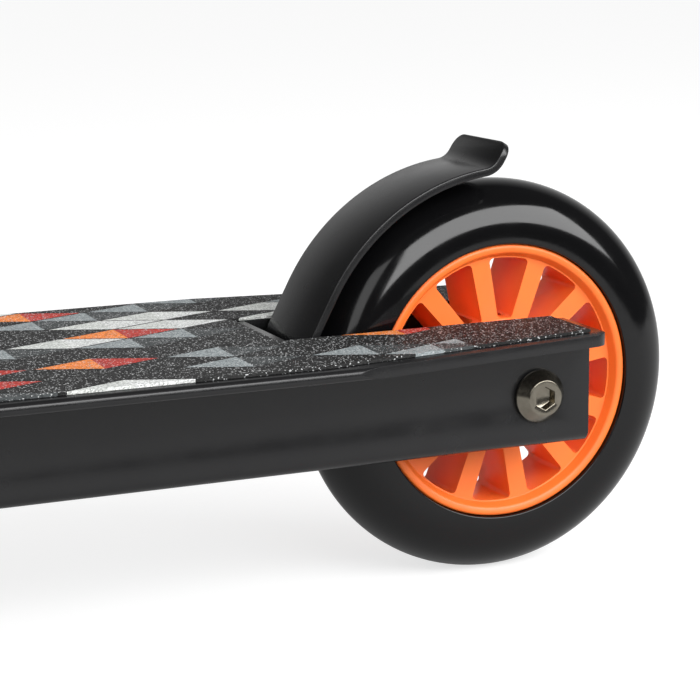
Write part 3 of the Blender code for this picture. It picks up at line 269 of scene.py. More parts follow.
def weldBead(name, body, points, radius, closed=True):
    # a tube along the joint whose thickness swells with each pulse of the torch
    spacing = weld["spacing"] * mm
    line = [Vector(point) for point in points]
    if closed:
        line.append(line[0])
    path = []
    travelled = 0
    for start, end in zip(line, line[1:]):
        length = (end - start).length
        while len(path) * spacing < travelled + length:
            path.append(start.lerp(end, (len(path) * spacing - travelled) / length))
        travelled += length
    curve = bpy.data.curves.new(name, "CURVE")
    curve.dimensions = "3D"
    curve.bevel_depth = radius * mm
    curve.bevel_resolution = 2
    curve.use_fill_caps = True
    spline = curve.splines.new("POLY")
    spline.points.add(len(path) - 1)
    for k, (point, place) in enumerate(zip(spline.points, path)):
        point.co = (*place, 1)
        point.radius = 1 + weld["swell"] * math.cos(2 * math.pi * k * weld["spacing"] / weld["pulse"])
    spline.use_cyclic_u = closed
    onlySelect(addObject(name, curve))
    bpy.ops.object.convert(target="MESH")
    finished(bpy.context.object, body, "black_alloy", angle=60)


def tubeHit(point, along, centre, axis, radius):
    # where a straight line first meets a round tube
    offset = point - centre
    offset -= axis * offset.dot(axis)
    way = along - axis * along.dot(axis)
    half = offset.dot(way)
    rest = offset.dot(offset) - radius ** 2
    return point + along * (-half - math.sqrt(half ** 2 - way.dot(way) * rest)) / way.dot(way)


def dress(piece, slot):
    piece.data.materials.clear()
    piece.data.materials.append(finishes[slot])


def finished(piece, body, slot, nodes=(), angle=32):
    # points that meet are merged, and the piece gets its shading, material, body and nodes
    editStart(piece)
    bpy.ops.mesh.remove_doubles(threshold=0.002 * mm)
    bpy.ops.mesh.normals_make_consistent(inside=False)
    editDone()
    bpy.ops.object.shade_smooth_by_angle(angle=math.radians(angle))
    dress(piece, slot)
    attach(piece, body)
    if nodes:
        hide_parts(*nodes)


# materials
def linear(hexColour):
    channels = [int(hexColour[k:k + 2], 16) / 255 for k in (1, 3, 5)]
    return [c / 12.92 if c <= 0.04045 else ((c + 0.055) / 1.055) ** 2.4 for c in channels] + [1]


def addNode(tree, kind, inputs=None, out=0, **settings):
    # a node with its settings and links, which gives back one of its outputs
    made = tree.nodes.new("ShaderNode" + kind)
    for name, value in settings.items():
        setattr(made, name, value)
    for socket, value in (inputs or {}).items():
        if isinstance(value, bpy.types.NodeSocket):
            tree.links.new(value, made.inputs[socket])
        else:
            made.inputs[socket].default_value = value
    return made.outputs[out] if len(made.outputs) else None


def newMaterial(name, values):
    material = bpy.data.materials.new(name)
    material.use_nodes = True
    tree = material.node_tree
    shader = tree.nodes["Principled BSDF"]
    for socket, value in values.items():
        shader.inputs[socket].default_value = value
    return material, tree, shader.inputs, addNode(tree, "TexCoord", out="Object")


looks = {
    # baked powder coat: satin black with faint clouds and a very fine orange peel
    "powder": {"colours": ("#171718", "#1C1C1D"), "roughness": (0.22, 0.28), "cloud": 9,
               "skin": 0.8, "raised": 0.010, "IOR": 1.5},
    # polyurethane cast in a polished mould: near black and glossy, with faint flow marks
    "polyurethane": {"colours": ("#0B0B0C",), "roughness": (0.08, 0.14), "cloud": 6,
                     "raised": 0.006, "IOR": 1.47},
    # orange nylon from a lightly textured mould: satin, with slight flow marks in its colour
    "nylon": {"colours": ("#FF7E32", "#FC7029"), "roughness": (0.36, 0.46), "cloud": 7,
              "skin": 0.5, "raised": 0.006, "IOR": 1.52},
    # nickel plate and ground steel: metal with faint stains and the fine marks of its tool
    "nickel": {"colours": ("#A39D90", "#7E786C"), "roughness": (0.14, 0.24), "cloud": 2.5,
               "skin": 0.25, "detail": 4.0, "raised": 0.004, "Metallic": 1.0},
    "ground": {"colours": ("#C9CACB", "#B5B7B9"), "roughness": (0.2, 0.3), "cloud": 2.5,
               "skin": 0.2, "detail": 4.0, "raised": 0.004, "Metallic": 1.0},
    # moulded plastic and rubber: matt black with the mould's fine texture
    "plastic": {"colours": ("#1A1A1B",), "roughness": (0.42, 0.55), "cloud": 0.6, "raised": 0.02},
    "rubber": {"colours": ("#151516",), "roughness": (0.65, 0.8), "cloud": 0.5, "raised": 0.02},
}


def plainFinish(name, colours, roughness, cloud, raised, skin=0, detail=2.0, **even):
    # one noise varies colour and roughness, and a finer one, where there is one, the surface
    if len(colours) == 1:
        even["Base Color"] = linear(colours[0])
    material, tree, shader, place = newMaterial(name, even)
    noise = addNode(tree, "TexNoise", {"Vector": place, "Scale": 1 / (cloud * mm)})
    if len(colours) == 2:
        tone = addNode(tree, "Mix", {
            0: noise, 6: linear(colours[0]), 7: linear(colours[1])}, 2, data_type="RGBA")
        tree.links.new(tone, shader["Base Color"])
    rough = addNode(tree, "MapRange", {
        "Value": noise, "From Min": 0.3, "From Max": 0.7,
        "To Min": roughness[0], "To Max": roughness[1]})
    tree.links.new(rough, shader["Roughness"])
    if skin:
        noise = addNode(tree, "TexNoise", {
            "Vector": place, "Scale": 1 / (skin * mm), "Detail": detail})
    bump = addNode(tree, "Bump", {"Height": noise, "Distance": raised * mm})
    tree.links.new(bump, shader["Normal"])
    return material


tapePrint = {
    "length": 28.7, "pitchAlong": 30.5, "pitchAcross": 12.5,
    "startAlong": 93.1, "startAcross": -9.0, "lastAlong": 24.0, "seed": 3472,
    # the pale grain colour and its share are painted glints, standing in for the sparkle of lit grain facets
    "grit": "#202020", "paintedGlint": "#D8DADA", "paintedGlintShare": 0.08, "paintedGlintCover": 0.7,
    "grain": 0.30, "gritDepth": 0.09, "shade": (0.45, 1.2), "roughness": (0.45, 0.9),
    "frontHalf": ((0.0, "#FF9141"), (0.15, "#DDE0DC"), (0.30, "#9AA2A4"), (0.52, "#2A2A2A")),
    "rearHalf": ((0.0, "#C83C32"), (0.15, "#E8EAE8"), (0.30, "#4A4E4F"), (0.52, "#262626")),
}


def gritTape():
    # mineral grit glued on a printed film: rough, with painted glints, a few grains coloured pale over the print
    # in place of their sparkle
    t = tapePrint
    material, tree, shader, place = newMaterial("grit_tape", {"Specular IOR Level": 0.4})
    # lozenges stand on a slanting lattice, and each one draws its ink by lot
    along = t["pitchAlong"] * mm
    across = t["pitchAcross"] * mm
    start = (-rearAxle.x / along - t["startAlong"] / t["pitchAlong"],
             -t["startAcross"] / t["pitchAcross"], 0)
    pitches = addNode(tree, "VectorMath", {
        0: place, 1: (1 / along, 1 / across, 0), 2: start}, operation="MULTIPLY_ADD")
    rising, falling = [
        addNode(tree, "VectorMath", {0: pitches, 1: way}, "Value", operation="DOT_PRODUCT")
        for way in ((1, 1, 0), (1, -1, 0))]
    slanted = addNode(tree, "CombineXYZ", {"X": rising, "Y": falling})
    lattice = addNode(tree, "VectorMath", {0: slanted, 1: (0.5, 0.5, t["seed"] + 0.5)},
                      operation="ADD")
    cell = addNode(tree, "VectorMath", {0: lattice}, operation="FLOOR")
    part = addNode(tree, "VectorMath", {0: lattice}, operation="FRACTION")
    rest = addNode(tree, "VectorMath", {0: part, 1: (0.5, 0.5, 0.5)}, operation="SUBTRACT")
    reach = addNode(tree, "SeparateXYZ", {
        "Vector": addNode(tree, "VectorMath", {0: rest}, operation="ABSOLUTE")}).node.outputs
    farthest = addNode(tree, "Math", {0: reach["X"], 1: reach["Y"]}, operation="MAXIMUM")
    inside = addNode(tree, "Math", {0: farthest, 1: t["length"] / t["pitchAlong"] / 2},
                     operation="LESS_THAN")
    printed = addNode(tree, "Math", {
        0: addNode(tree, "SeparateXYZ", {"Vector": place}), 1: rearAxle.x + t["lastAlong"] * mm},
        operation="GREATER_THAN")
    drawn = addNode(tree, "Math", {0: inside, 1: printed}, operation="MULTIPLY")
    slope = addNode(tree, "VectorMath", {0: rest, 1: (1, 1, 0)}, "Value", operation="DOT_PRODUCT")
    inFront = addNode(tree, "Math", {0: slope, 1: 0.0}, operation="GREATER_THAN")
    lot = addNode(tree, "TexWhiteNoise", {"Vector": cell})
    inks = []
    for steps in (t["rearHalf"], t["frontHalf"]):
        ink = addNode(tree, "ValToRGB", {"Fac": lot})
        ink.node.color_ramp.interpolation = "CONSTANT"
        stops = ink.node.color_ramp.elements
        while len(stops) < len(steps):
            stops.new(1)
        for stop, (position, colour) in zip(stops, steps):
            stop.position = position
            stop.color = linear(colour)
        inks.append(ink)
    lozenge = addNode(tree, "Mix", {0: inFront, 6: inks[0], 7: inks[1]}, 2, data_type="RGBA")
    film = addNode(tree, "Mix", {0: drawn, 6: linear(t["grit"]), 7: lozenge}, 2, data_type="RGBA")
    grains = addNode(tree, "TexVoronoi", {"Vector": place, "Scale": 1 / (t["grain"] * mm)})
    chance = addNode(tree, "SeparateColor", {"Color": grains.node.outputs["Color"]}).node.outputs
    darkest, palest = t["shade"]
    shade = addNode(tree, "MapRange", {
        "Value": chance["Red"], "To Min": darkest, "To Max": palest})
    shaded = addNode(tree, "VectorMath", {0: film, "Scale": shade}, operation="SCALE")
    # grains with a high lot take the pale colour: painted glints, not grains of another colour
    glintGrains = addNode(tree, "Math", {0: chance["Green"], 1: 1 - t["paintedGlintShare"]},
                     operation="GREATER_THAN")
    share = addNode(tree, "Math", {0: glintGrains, 1: t["paintedGlintCover"]}, operation="MULTIPLY")
    tone = addNode(tree, "Mix", {0: share, 6: shaded, 7: linear(t["paintedGlint"])}, 2, data_type="RGBA")
    tree.links.new(tone, shader["Base Color"])
    smooth, dull = t["roughness"]
    rough = addNode(tree, "MapRange", {"Value": chance["Blue"], "To Min": smooth, "To Max": dull})
    tree.links.new(rough, shader["Roughness"])
    bump = addNode(tree, "Bump", {"Height": grains, "Distance": t["gritDepth"] * mm})
    tree.links.new(bump, shader["Normal"])
    return material


finishes = {
    "black_alloy": plainFinish("powder_coat_on_alloy", **looks["powder"]),
    "black_steel": plainFinish("powder_coat_on_steel", **looks["powder"]),
    "grip_tape": gritTape(),
    "orange_plastic": plainFinish("moulded_nylon", **looks["nylon"]),
    "black_tyre": plainFinish("cast_polyurethane", **looks["polyurethane"]),
    "bolt_steel": plainFinish("nickel_plated_steel", **looks["nickel"]),
    "bearing_steel": plainFinish("ground_steel", **looks["ground"]),
    "black_plastic": plainFinish("moulded_plastic", **looks["plastic"]),
    "black_rubber": plainFinish("moulded_rubber", **looks["rubber"]),
}
for part in frame["record"]["subparts"]:
    dress(frame["nodes"][part["node"]], part["material_slot"])
print("materials made")


# wheels
wheel = {
    "radius": 50, "halfWidth": 11.8, "bore": 34.75, "shoulder": 38.0, "lip": 0.4,
    "treadSteps": 18, "sides": 160,
    "rim": 34.6, "rimHalf": 11.4, "rimRound": 0.9, "opening": 31.4, "spokeHalf": 8.7,
    "keyHeight": 1.8, "keyHalf": 4.0, "keyTaper": 0.8,
    "hub": 14.6, "hubHalf": 11.9, "hubFoot": 15.0, "bearingSeat": 11.15, "bearingFloor": 4.75,
    "bearingStop": 9.0,
    "spokes": 12, "spokePhase": 19.4, "spokeAtRim": 4.9, "spokeAtHub": 4.2, "spokeDraft": 0.3,
    "windowInner": 15.8, "windowOuter": 31.05, "windowCorner": 1.2, "windowEdge": 0.3,
}


def makeTyre():
    w = wheel
    key = w["bore"] + w["keyHeight"]
    half = rounded(sized([
        (key, 0), (key, w["keyHalf"] - w["keyTaper"] + 0.15), (w["bore"], w["keyHalf"] + 0.15),
        (w["bore"], w["halfWidth"], w["lip"]), (w["shoulder"], w["halfWidth"])]))
    for k in range(1, w["treadSteps"] + 1):
        angle = math.radians(90 - 90 * k / w["treadSteps"])
        half.append(((w["shoulder"] + (w["radius"] - w["shoulder"]) * math.cos(angle)) * mm,
                     w["halfWidth"] * math.sin(angle) * mm))
    return turned("tyre", mirrored(half), w["sides"])


def makeWindows():
    # a ring is parted by twelve tapered bars, which leaves the openings between the spokes
    w = wheel
    beyond = (w["spokeHalf"] + 4) * mm
    tool = turned("windows", [
        (w["windowInner"] * mm, -beyond), (w["windowOuter"] * mm, -beyond),
        (w["windowOuter"] * mm, beyond), (w["windowInner"] * mm, beyond)], 96)
    start, end = (w["windowInner"] - 2) * mm, (w["windowOuter"] + 2) * mm
    half = w["spokeAtHub"] / 2 * mm
    bar = addBox("spoke", (start, -half, -beyond - mm), (end, half, beyond + mm))
    choose(bar, "VERT", lambda point: point.co.x > (start + end) / 2)
    share = w["spokeAtRim"] / w["spokeAtHub"]
    bpy.ops.transform.resize(value=(1, share, 1), center_override=(0, 0, 0))
    bpy.ops.mesh.select_all(action="SELECT")
    bpy.ops.mesh.bisect(plane_co=(0, 0, 0), plane_no=(0, 0, 1))
    editDone()
    choose(bar, "VERT", lambda point: abs(point.co.z) < 0.1 * mm)
    share = 1 + 2 * w["spokeDraft"] / w["spokeAtRim"]
    bpy.ops.transform.resize(value=(1, share, 1), center_override=(0, 0, 0))
    editDone()
    bars = [bar]
    for k in range(1, w["spokes"]):
        bars.append(copied(bar, "spoke", Matrix.Rotation(2 * math.pi * k / w["spokes"], 4, "Z")))
    combine(tool, joined(bars))

    def atCorner(edge):
        upright = abs(edge.verts[0].co.z - edge.verts[1].co.z) > mm
        return upright and edge.calc_face_angle(0) > math.radians(35)
    bevelEdges(tool, w["windowCorner"] * mm, 5, atCorner)
    return tool


def makeCore():
    # open fault: the first corner is rounded as if the half were closed
    w = wheel
    half = rounded(sized([
        (w["bearingStop"], w["bearingFloor"], 0.2), (w["bearingSeat"], w["bearingFloor"]),
        (w["bearingSeat"], w["hubHalf"], 0.3), (w["hub"], w["hubHalf"], 0.6),
        (w["hubFoot"], w["spokeHalf"], 0.5), (w["opening"], w["spokeHalf"], 0.25),
        (w["opening"] + 1.1, w["rimHalf"] - 0.5, 1.0), (w["rim"], w["rimHalf"], w["rimRound"]),
        (w["rim"], w["keyHalf"]), (w["rim"] + w["keyHeight"], w["keyHalf"] - w["keyTaper"])]),
        closed=True)
    core = turned("core", mirrored(half), w["sides"])
    combine(core, makeWindows())
    breakEdges(core, w["windowEdge"] * mm)
    settle(core, Matrix.Rotation(math.radians(-w["spokePhase"]), 4, "Z"))
    return core


bearing = {
    "outer": 11.0, "outerWall": 1.4, "inner": 4.2, "innerWall": 1.85, "width": 7.0,
    "recess": 0.35, "edge": 0.3, "shieldGap": 0.25, "shieldLap": 0.02, "dish": 0.15,
    "dishOuter": (0.9, 1.1), "dishInner": (0.7, 0.9),
}


def makeBearing():
    # outer ring, inner ring and the rubber shield between them, on the hub's left side
    b = bearing
    low = wheel["hubHalf"] - b["width"]
    high = wheel["hubHalf"]
    ringInner = b["outer"] - b["outerWall"]
    raceOuter = b["inner"] + b["innerWall"]
    rings = []
    for name, inside, outside in (("outer", ringInner, b["outer"]), ("inner", b["inner"], raceOuter)):
        rings.append(lathe(name, [(radius, height, b["edge"]) for radius, height in (
            (inside, low), (outside, low), (outside, high), (inside, high))]))
    start, end = raceOuter + b["shieldGap"], ringInner - b["shieldLap"]
    floor, face = low + b["recess"], high - b["recess"]
    dish = face - b["dish"]
    shield = turned("shield", sized([
        (start, floor), (end, floor), (end, face), (ringInner - b["dishOuter"][0], face),
        (ringInner - b["dishOuter"][1], dish), (raceOuter + b["dishInner"][1], dish),
        (raceOuter + b["dishInner"][0], face), (start, face)]))
    return rings + [shield]


def makeWheels():
    tyre = makeTyre()
    core = makeCore()
    parts = makeBearing()
    flip = Matrix.Rotation(math.pi, 4, "X")
    for word, axle, held in (("rear", rearAxle, "frame"), ("front", frontAxle, "steering")):
        place = Matrix.Translation(axle) @ axleTurn
        body = word + "_wheel"
        finished(copied(tyre, word + "_tyre_cast", place), body, "black_tyre", [word + "_tyre"])
        finished(copied(core, word + "_spoked_core", place), body, "orange_plastic",
                 [word + "_wheel_core"])
        for side, turn in (("left", Matrix()), ("right", flip)):
            spot = place @ turn
            outer, inner, shield = [
                copied(part, "%s_%s_ring_%s" % (word, part.name, side), spot) for part in parts]
            finished(outer, body, "bearing_steel", ["%s_bearing_%s" % (word, side)])
            finished(inner, held, "bearing_steel", ["%s_race_%s" % (word, side)])
            finished(shield, body, "black_rubber")
    for piece in [tyre, core] + parts:
        bpy.data.objects.remove(piece, do_unlink=True)


makeWheels()
print("wheels made")


# axle bolts with their nuts, washers and spacers
axleSet = {
    "shaft": 4.0, "head": 6.5, "face": 4.35, "headHeight": 3.4, "headRim": 0.8, "edge": 0.3,
    "socket": 5.0, "socketDepth": 2.6, "seat": 0.15, "tail": 1.5,
    "washer": 8.0, "washerThickness": 1.2, "nut": 13.0, "nutHeight": 7.0, "collar": 2.0,
    "collarInset": 0.7, "bore": 4.2, "spacer": 6.0, "tip": 0.6, "fineEdge": 0.15,
    "chamferInset": 0.3, "chamferReach": 1.2, "chamferRise": 0.9,
}


def makeAxleSet(word, axle, body, outerFace, innerFace):
    a = axleSet
    place = Matrix.Translation(axle) @ axleTurn
    head = outerFace + a["seat"]
    face = head + a["headHeight"]
    nutStart = -(head + a["washerThickness"] + a["seat"])
    collarStart = nutStart - a["nutHeight"]
    nutEnd = collarStart - a["collar"]
    tail = nutEnd - a["tail"]
    bolt = lathe(word + "_bolt_socket_head", [
        (1, face), (a["face"], face, a["edge"]), (a["head"], head + a["headRim"], a["edge"]),
        (a["head"], head), (a["shaft"], head), (a["shaft"], tail + a["tip"]),
        (a["shaft"] - a["tip"], tail)], ring=False)
    combine(bolt, addHexagon("socket", a["socket"], face - a["socketDepth"], face + 2))
    breakEdges(bolt, a["fineEdge"] * mm)
    finished(settle(bolt, place), body, "bolt_steel", [word + "_axle_bolt"])
    under = -head - a["washerThickness"]
    washer = lathe(word + "_washer_ring", [
        (a["bore"], -head), (a["washer"], -head, a["edge"]), (a["washer"], under, a["edge"]),
        (a["bore"], under)])
    finished(settle(washer, place), body, "bolt_steel", [word + "_axle_washer"])
    nut = addHexagon(word + "_lock_nut", a["nut"], collarStart, nutStart)
    flats = a["nut"] / 2
    inset, reach, rise = flats - a["chamferInset"], flats + a["chamferReach"], a["chamferRise"]
    combine(nut, turned("chamfer", sized([
        (inset, collarStart), (reach, collarStart + rise), (reach, nutStart - rise),
        (inset, nutStart)]), ring=False), "INTERSECT")
    combine(nut, lathe("collar", [
        (flats - a["collarInset"], collarStart + 0.8), (flats - a["collarInset"], nutEnd, 0.9),
        (a["bore"] - 1, nutEnd)], ring=False), "UNION")
    combine(nut, addPost("bore", a["bore"], nutStart + 1, nutEnd - 1))
    breakEdges(nut, a["fineEdge"] * mm)
    finished(settle(nut, place), body, "bolt_steel", [word + "_axle_nut"])
    for side, sign in (("left", 1), ("right", -1)):
        near = sign * (wheel["hubHalf"] + a["seat"])
        far = sign * (innerFace - a["seat"])
        spacer = lathe("%s_spacer_tube_%s" % (word, side), [
            (a["bore"], near), (a["spacer"], near, a["edge"]), (a["spacer"], far, a["edge"]),
            (a["bore"], far)], 64)
        finished(settle(spacer, place), body, "bearing_steel",
                 ["%s_axle_spacer_%s" % (word, side)])


# deck
deck = {
    "plate": 2.8, "roof": 2.5, "floor": 2.4, "web": 2.4, "chamber": 7.7,
    "slotHalf": 15.5, "slotFront": 59.2, "webInner": 15.9, "wallOuter": 28.8, "plateHalf": 50.5,
    "lowerCorner": 3.0, "trimStart": 57.0, "trimRearHalf": 38.8, "trimCorner": 4.0,
    "axleHole": 4.2, "edge": 0.35, "footHole": 2.65, "noseEdge": 0.5,
}
footScrews = []
for name in ("fender_screw_1", "fender_screw_2"):
    low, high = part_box(name)
    footScrews.append(Vector(((low.x + high.x) / 2, 0, deckLow.z)))


def makeDeck():
    d = deck
    rear, front = deckLow.x, deckHigh.x
    bottom, top = deckLow.z, deckHigh.z
    beyond = 5 * mm
    plateLow = top - d["plate"] * mm
    shell = addBox("deck_extrusion", (rear, -d["wallOuter"] * mm, bottom),
                   (front, d["wallOuter"] * mm, top - d["plate"] / 2 * mm))
    bevelEdges(shell, d["lowerCorner"] * mm, 8, runsAlong(0, lambda p: p.z < bottom + 1e-4))
    half = d["plateHalf"] * mm
    plate = addBox("plate", (rear, -half, plateLow), (front, half, top))
    bevelEdges(plate, d["plate"] / 2 * 0.998 * mm, 8, runsAlong(0))
    narrow = d["trimRearHalf"] * mm
    trimRear(plate, rear, rearAxle.x + d["trimStart"] * mm, half, narrow)
    bevelEdges(plate, d["trimCorner"] * mm, 8,
               runsAlong(2, lambda p: p.x < rear + 1e-4, lambda p: abs(p.y) > narrow - 2 * mm))
    combine(shell, plate, "UNION")
    floor, roof = bottom + d["floor"] * mm, top - d["roof"] * mm
    rail = (d["webInner"] + d["web"]) * mm
    for low, high in ((-d["webInner"] * mm, d["webInner"] * mm), (rail, rail + d["chamber"] * mm),
                      (-rail - d["chamber"] * mm, -rail)):
        chamber = addBox("chamber", (rear - beyond, low, floor), (front + beyond, high, roof))
        bevelEdges(chamber, 0.6 * mm, 3, runsAlong(0))
        combine(shell, chamber)
    slotEnd = rearAxle.x + d["slotFront"] * mm
    combine(shell, addBox("slot", (rear - beyond, -d["slotHalf"] * mm, bottom - beyond),
                          (slotEnd, d["slotHalf"] * mm, top + beyond)))
    reach = Vector((0, d["wallOuter"] * mm + beyond, 0))
    combine(shell, addRod("hole", d["axleHole"] * mm, rearAxle - reach, rearAxle + reach))
    for spot in footScrews:
        combine(shell, addRod("hole", d["footHole"] * mm, spot - Vector((0, 0, mm)),
                              spot + Vector((0, 0, 4 * mm)), 32))
    breakEdges(shell, d["edge"] * mm, 3)
    finished(shell, "frame", "black_alloy", ["deck"])
    low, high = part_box("nose_plate")
    nose = addBox("nose_end_plate", low, high)
    bevelEdges(nose, d["lowerCorner"] * mm, 8, runsAlong(0))
    breakEdges(nose, d["noseEdge"] * mm, 3)
    finished(nose, "frame", "black_alloy", ["nose_plate"])


footScrew = {
    "head": 4.6, "headHeight": 2.2, "seat": 0.15, "shaft": 2.5, "top": 9.7, "socket": 3.0,
    "socketDepth": 1.3, "tip": 0.5,
}


def makeFootScrews():
    s = footScrew
    face = -s["seat"] - s["headHeight"]
    for number, spot in enumerate(footScrews, 1):
        screw = lathe("foot_button_screw_%d" % number, [
            (1, face), (s["head"] - 1.6, face, 0.8), (s["head"], -s["seat"] - 0.9, 0.8),
            (s["head"], -s["seat"]), (s["shaft"], -s["seat"]), (s["shaft"], s["top"] - s["tip"]),
            (s["shaft"] - s["tip"], s["top"])], 64, ring=False)
        combine(screw, addHexagon("socket", s["socket"], face - 1, face + s["socketDepth"]))
        finished(settle(screw, Matrix.Translation(spot)), "frame", "bolt_steel",
                 ["fender_screw_%d" % number])


tape = {
    "halfWidth": 47.3, "rearHalf": 35.6, "trimStart": 62.5, "slotHalf": 15.8, "slotFront": 62.5,
    "frontCorner": 12.0, "edge": 0.12,
}


def makeTape():
    t = tape
    low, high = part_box("grip_tape")
    half = t["halfWidth"] * mm
    sheet = addBox("grip_tape_sheet", (low.x, -half, low.z), (high.x, half, high.z))
    bevelEdges(sheet, t["frontCorner"] * mm, 10, runsAlong(2, lambda p: p.x > high.x - 1e-4))
    trimRear(sheet, low.x, rearAxle.x + t["trimStart"] * mm, half, t["rearHalf"] * mm)
    combine(sheet, addBox("slot", (low.x - mm, -t["slotHalf"] * mm, low.z - mm),
                          (rearAxle.x + t["slotFront"] * mm, t["slotHalf"] * mm, high.z + mm)))
    breakEdges(sheet, t["edge"] * mm, 1)
    finished(sheet, "frame", "grip_tape", ["grip_tape"])


fender = {
    "middle": 53.4, "thickness": 2.0, "halfWidth": 13.5, "edge": 0.35,
    "knee": 6.0, "straight": 28.0, "top": 83.0,
    "lip": 121.5, "lipBend": 5.5, "lipLength": 4.8, "lipCorner": 3.8,
}


def makeFender():
    # the strip's section goes up out of the deck, straight to the wheel, round it and into the lip
    f = fender
    root = Vector(joints["brake_press"]["pos_m"])
    middle = f["middle"] * mm
    knee = f["knee"] * mm
    straight, top, lip = [math.radians(f[name]) for name in ("straight", "top", "lip")]
    bpy.ops.mesh.primitive_plane_add(size=1)
    strip = newest("fender_strip")
    editStart(strip)
    bpy.ops.transform.resize(value=(f["thickness"] * mm, 2 * f["halfWidth"] * mm, 1),
                             center_override=(0, 0, 0))
    editDone()
    settle(strip, Matrix.Translation(root))
    # the knee lies where the upright foot would meet the straight stretch
    rootX = root.x - rearAxle.x
    kneeHeight = rearAxle.z + (middle - rootX * math.cos(straight)) / math.sin(straight)
    kneeHeight -= knee * math.tan(straight / 2)
    kneeCentre = Vector((root.x - knee, 0, kneeHeight))
    atStart, atTop, along = [
        Vector((math.cos(turn), 0, math.sin(turn))) for turn in (straight, top, lip)]
    kneeEnd = kneeCentre + knee * atStart
    arcStart = rearAxle + middle * atStart
    lipCentre = rearAxle + (middle + f["lipBend"] * mm) * atTop
    editStart(strip, "FACE")
    bpy.ops.mesh.extrude_region_move(
        TRANSFORM_OT_translate={"value": (0, 0, kneeHeight - root.z)})
    bpy.ops.mesh.spin(steps=8, angle=straight, center=kneeCentre, axis=(0, 1, 0))
    bpy.ops.mesh.extrude_region_move(TRANSFORM_OT_translate={"value": arcStart - kneeEnd})
    bpy.ops.mesh.spin(steps=40, angle=top - straight, center=rearAxle, axis=(0, 1, 0))
    bpy.ops.mesh.spin(steps=10, angle=top + math.pi / 2 - lip, center=lipCentre, axis=(0, -1, 0))
    bpy.ops.mesh.extrude_region_move(
        TRANSFORM_OT_translate={"value": along * f["lipLength"] * mm})
    editDone()
    tip = max(point.co.dot(along) for point in strip.data.vertices)

    def atTip(edge):
        near = all(point.co.dot(along) > tip - 0.1 * mm for point in edge.verts)
        return near and abs(edge.verts[0].co.y - edge.verts[1].co.y) < 0.1 * mm
    bevelEdges(strip, f["lipCorner"] * mm, 8, atTip)
    breakEdges(strip, f["edge"] * mm, 3, 50)
    finished(strip, "brake", "black_steel", ["brake_fender"])


makeDeck()
makeFootScrews()
makeTape()
makeFender()
makeAxleSet("rear", rearAxle, "frame", deck["wallOuter"], deck["webInner"])
print("deck made")


# neck, gusset and head tube
neck = {
    "level": 130, "footInset": 35, "halfWidth": 17, "halfHeight": 19, "wall": 2.6, "corner": 7,
    "lift": 0.15, "bead": 1.7, "gussetHalf": 4.0, "gussetToe": 3.0, "gussetBead": 1.1,
    "gussetEdge": 0.5,
}
headTube = {
    "low": 79, "high": 187, "radius": 25, "seat": 21.05, "seatDepth": 7.15, "bore": 18.9,
    "edge": 1.0,
}
neckStart = inSteering @ Vector((0, 0, neck["level"] * mm))
neckFoot = Vector((deckHigh.x - neck["footInset"] * mm, 0, deckHigh.z))
neckAlong = (neckStart - neckFoot).normalized()
neckSlope = math.atan2(neckAlong.z, neckAlong.x)
neckTurn = Matrix.Rotation(math.pi / 2 - neckSlope, 4, "Y")


def inStem(name, points, body, slot, nodes, sides=96):
    # a turned piece about the steering axis
    finished(settle(lathe(name, points, sides), inSteering), body, slot, nodes)


def makeNeck():
    n = neck
    tall, wide = n["halfHeight"] * mm, n["halfWidth"] * mm
    wall, corner = n["wall"] * mm, n["corner"] * mm
    length = (neckStart - neckFoot).length + 2 * tall
    tube = addBox("neck_box_tube", (-tall, -wide, 0), (tall, wide, length))
    bevelEdges(tube, corner, 8, runsAlong(2))
    hollow = addBox("hollow", (wall - tall, wall - wide, -mm), (tall - wall, wide - wall, length + mm))
    bevelEdges(hollow, corner - wall, 8, runsAlong(2))
    combine(tube, hollow)
    settle(tube, Matrix.Translation(neckFoot - neckAlong * 2 * tall) @ neckTurn)
    mouth = addPost("mouth", headTube["radius"] + n["lift"], headTube["low"] - 5,
                    headTube["high"] + 5, 160)
    combine(tube, settle(mouth, inSteering))
    reach = Vector((0.1, 0.1, 0.1))
    combine(tube, addBox("below", neckFoot - reach,
                         neckFoot + Vector((0.1, 0.1, n["lift"] * mm))))
    finished(tube, "frame", "black_alloy", ["neck"])
    outline = rounded([(-tall, -wide, corner), (tall, -wide, corner), (tall, wide, corner),
                       (-tall, wide, corner)], closed=True, steps=8)
    weldBead("neck_foot_weld", "frame",
             [neckFoot + Vector((x / math.sin(neckSlope), y, 0)) for x, y in outline], n["bead"])
    weldBead("neck_head_weld", "frame", [
        tubeHit(neckFoot + neckTurn @ Vector((x, y, 0)), neckAlong, steerBase, steerAxis,
                headTube["radius"] * mm) for x, y in outline], n["bead"])


def makeGusset():
    # a plate whose corners are cut away along the neck's underside and the toe
    n = neck
    low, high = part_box("neck_gusset")
    under = neckFoot.x + (n["halfHeight"] + n["lift"]) * mm / math.sin(neckSlope)
    upper = Vector((low.x, 0, neckFoot.z + (low.x - under) * math.tan(neckSlope)))
    outer = Vector((high.x, 0, high.z))
    toe = low + Vector((n["gussetToe"] * mm, -low.y, n["gussetToe"] * mm))
    plate = addBox("neck_gusset_plate", low, high)
    for start, end, sign in ((upper, outer, 1), (toe, outer, -1),
                             (Vector((low.x, 0, low.z)), toe, -1)):
        run = end - start
        sliceOff(plate, start, sign * Vector((-run.z, 0, run.x)))
    breakEdges(plate, n["gussetEdge"] * mm, 3)
    finished(plate, "frame", "black_alloy", ["neck_gusset"])
    for word, side in (("left", 1), ("right", -1)):
        edge = Vector((0, side * n["gussetHalf"] * mm, 0))
        for spot, end in (("nose", Vector((low.x, 0, low.z + mm))), ("neck", outer)):
            weldBead("gusset_%s_weld_%s" % (spot, word), "frame", [upper + edge, end + edge],
                     n["gussetBead"], closed=False)


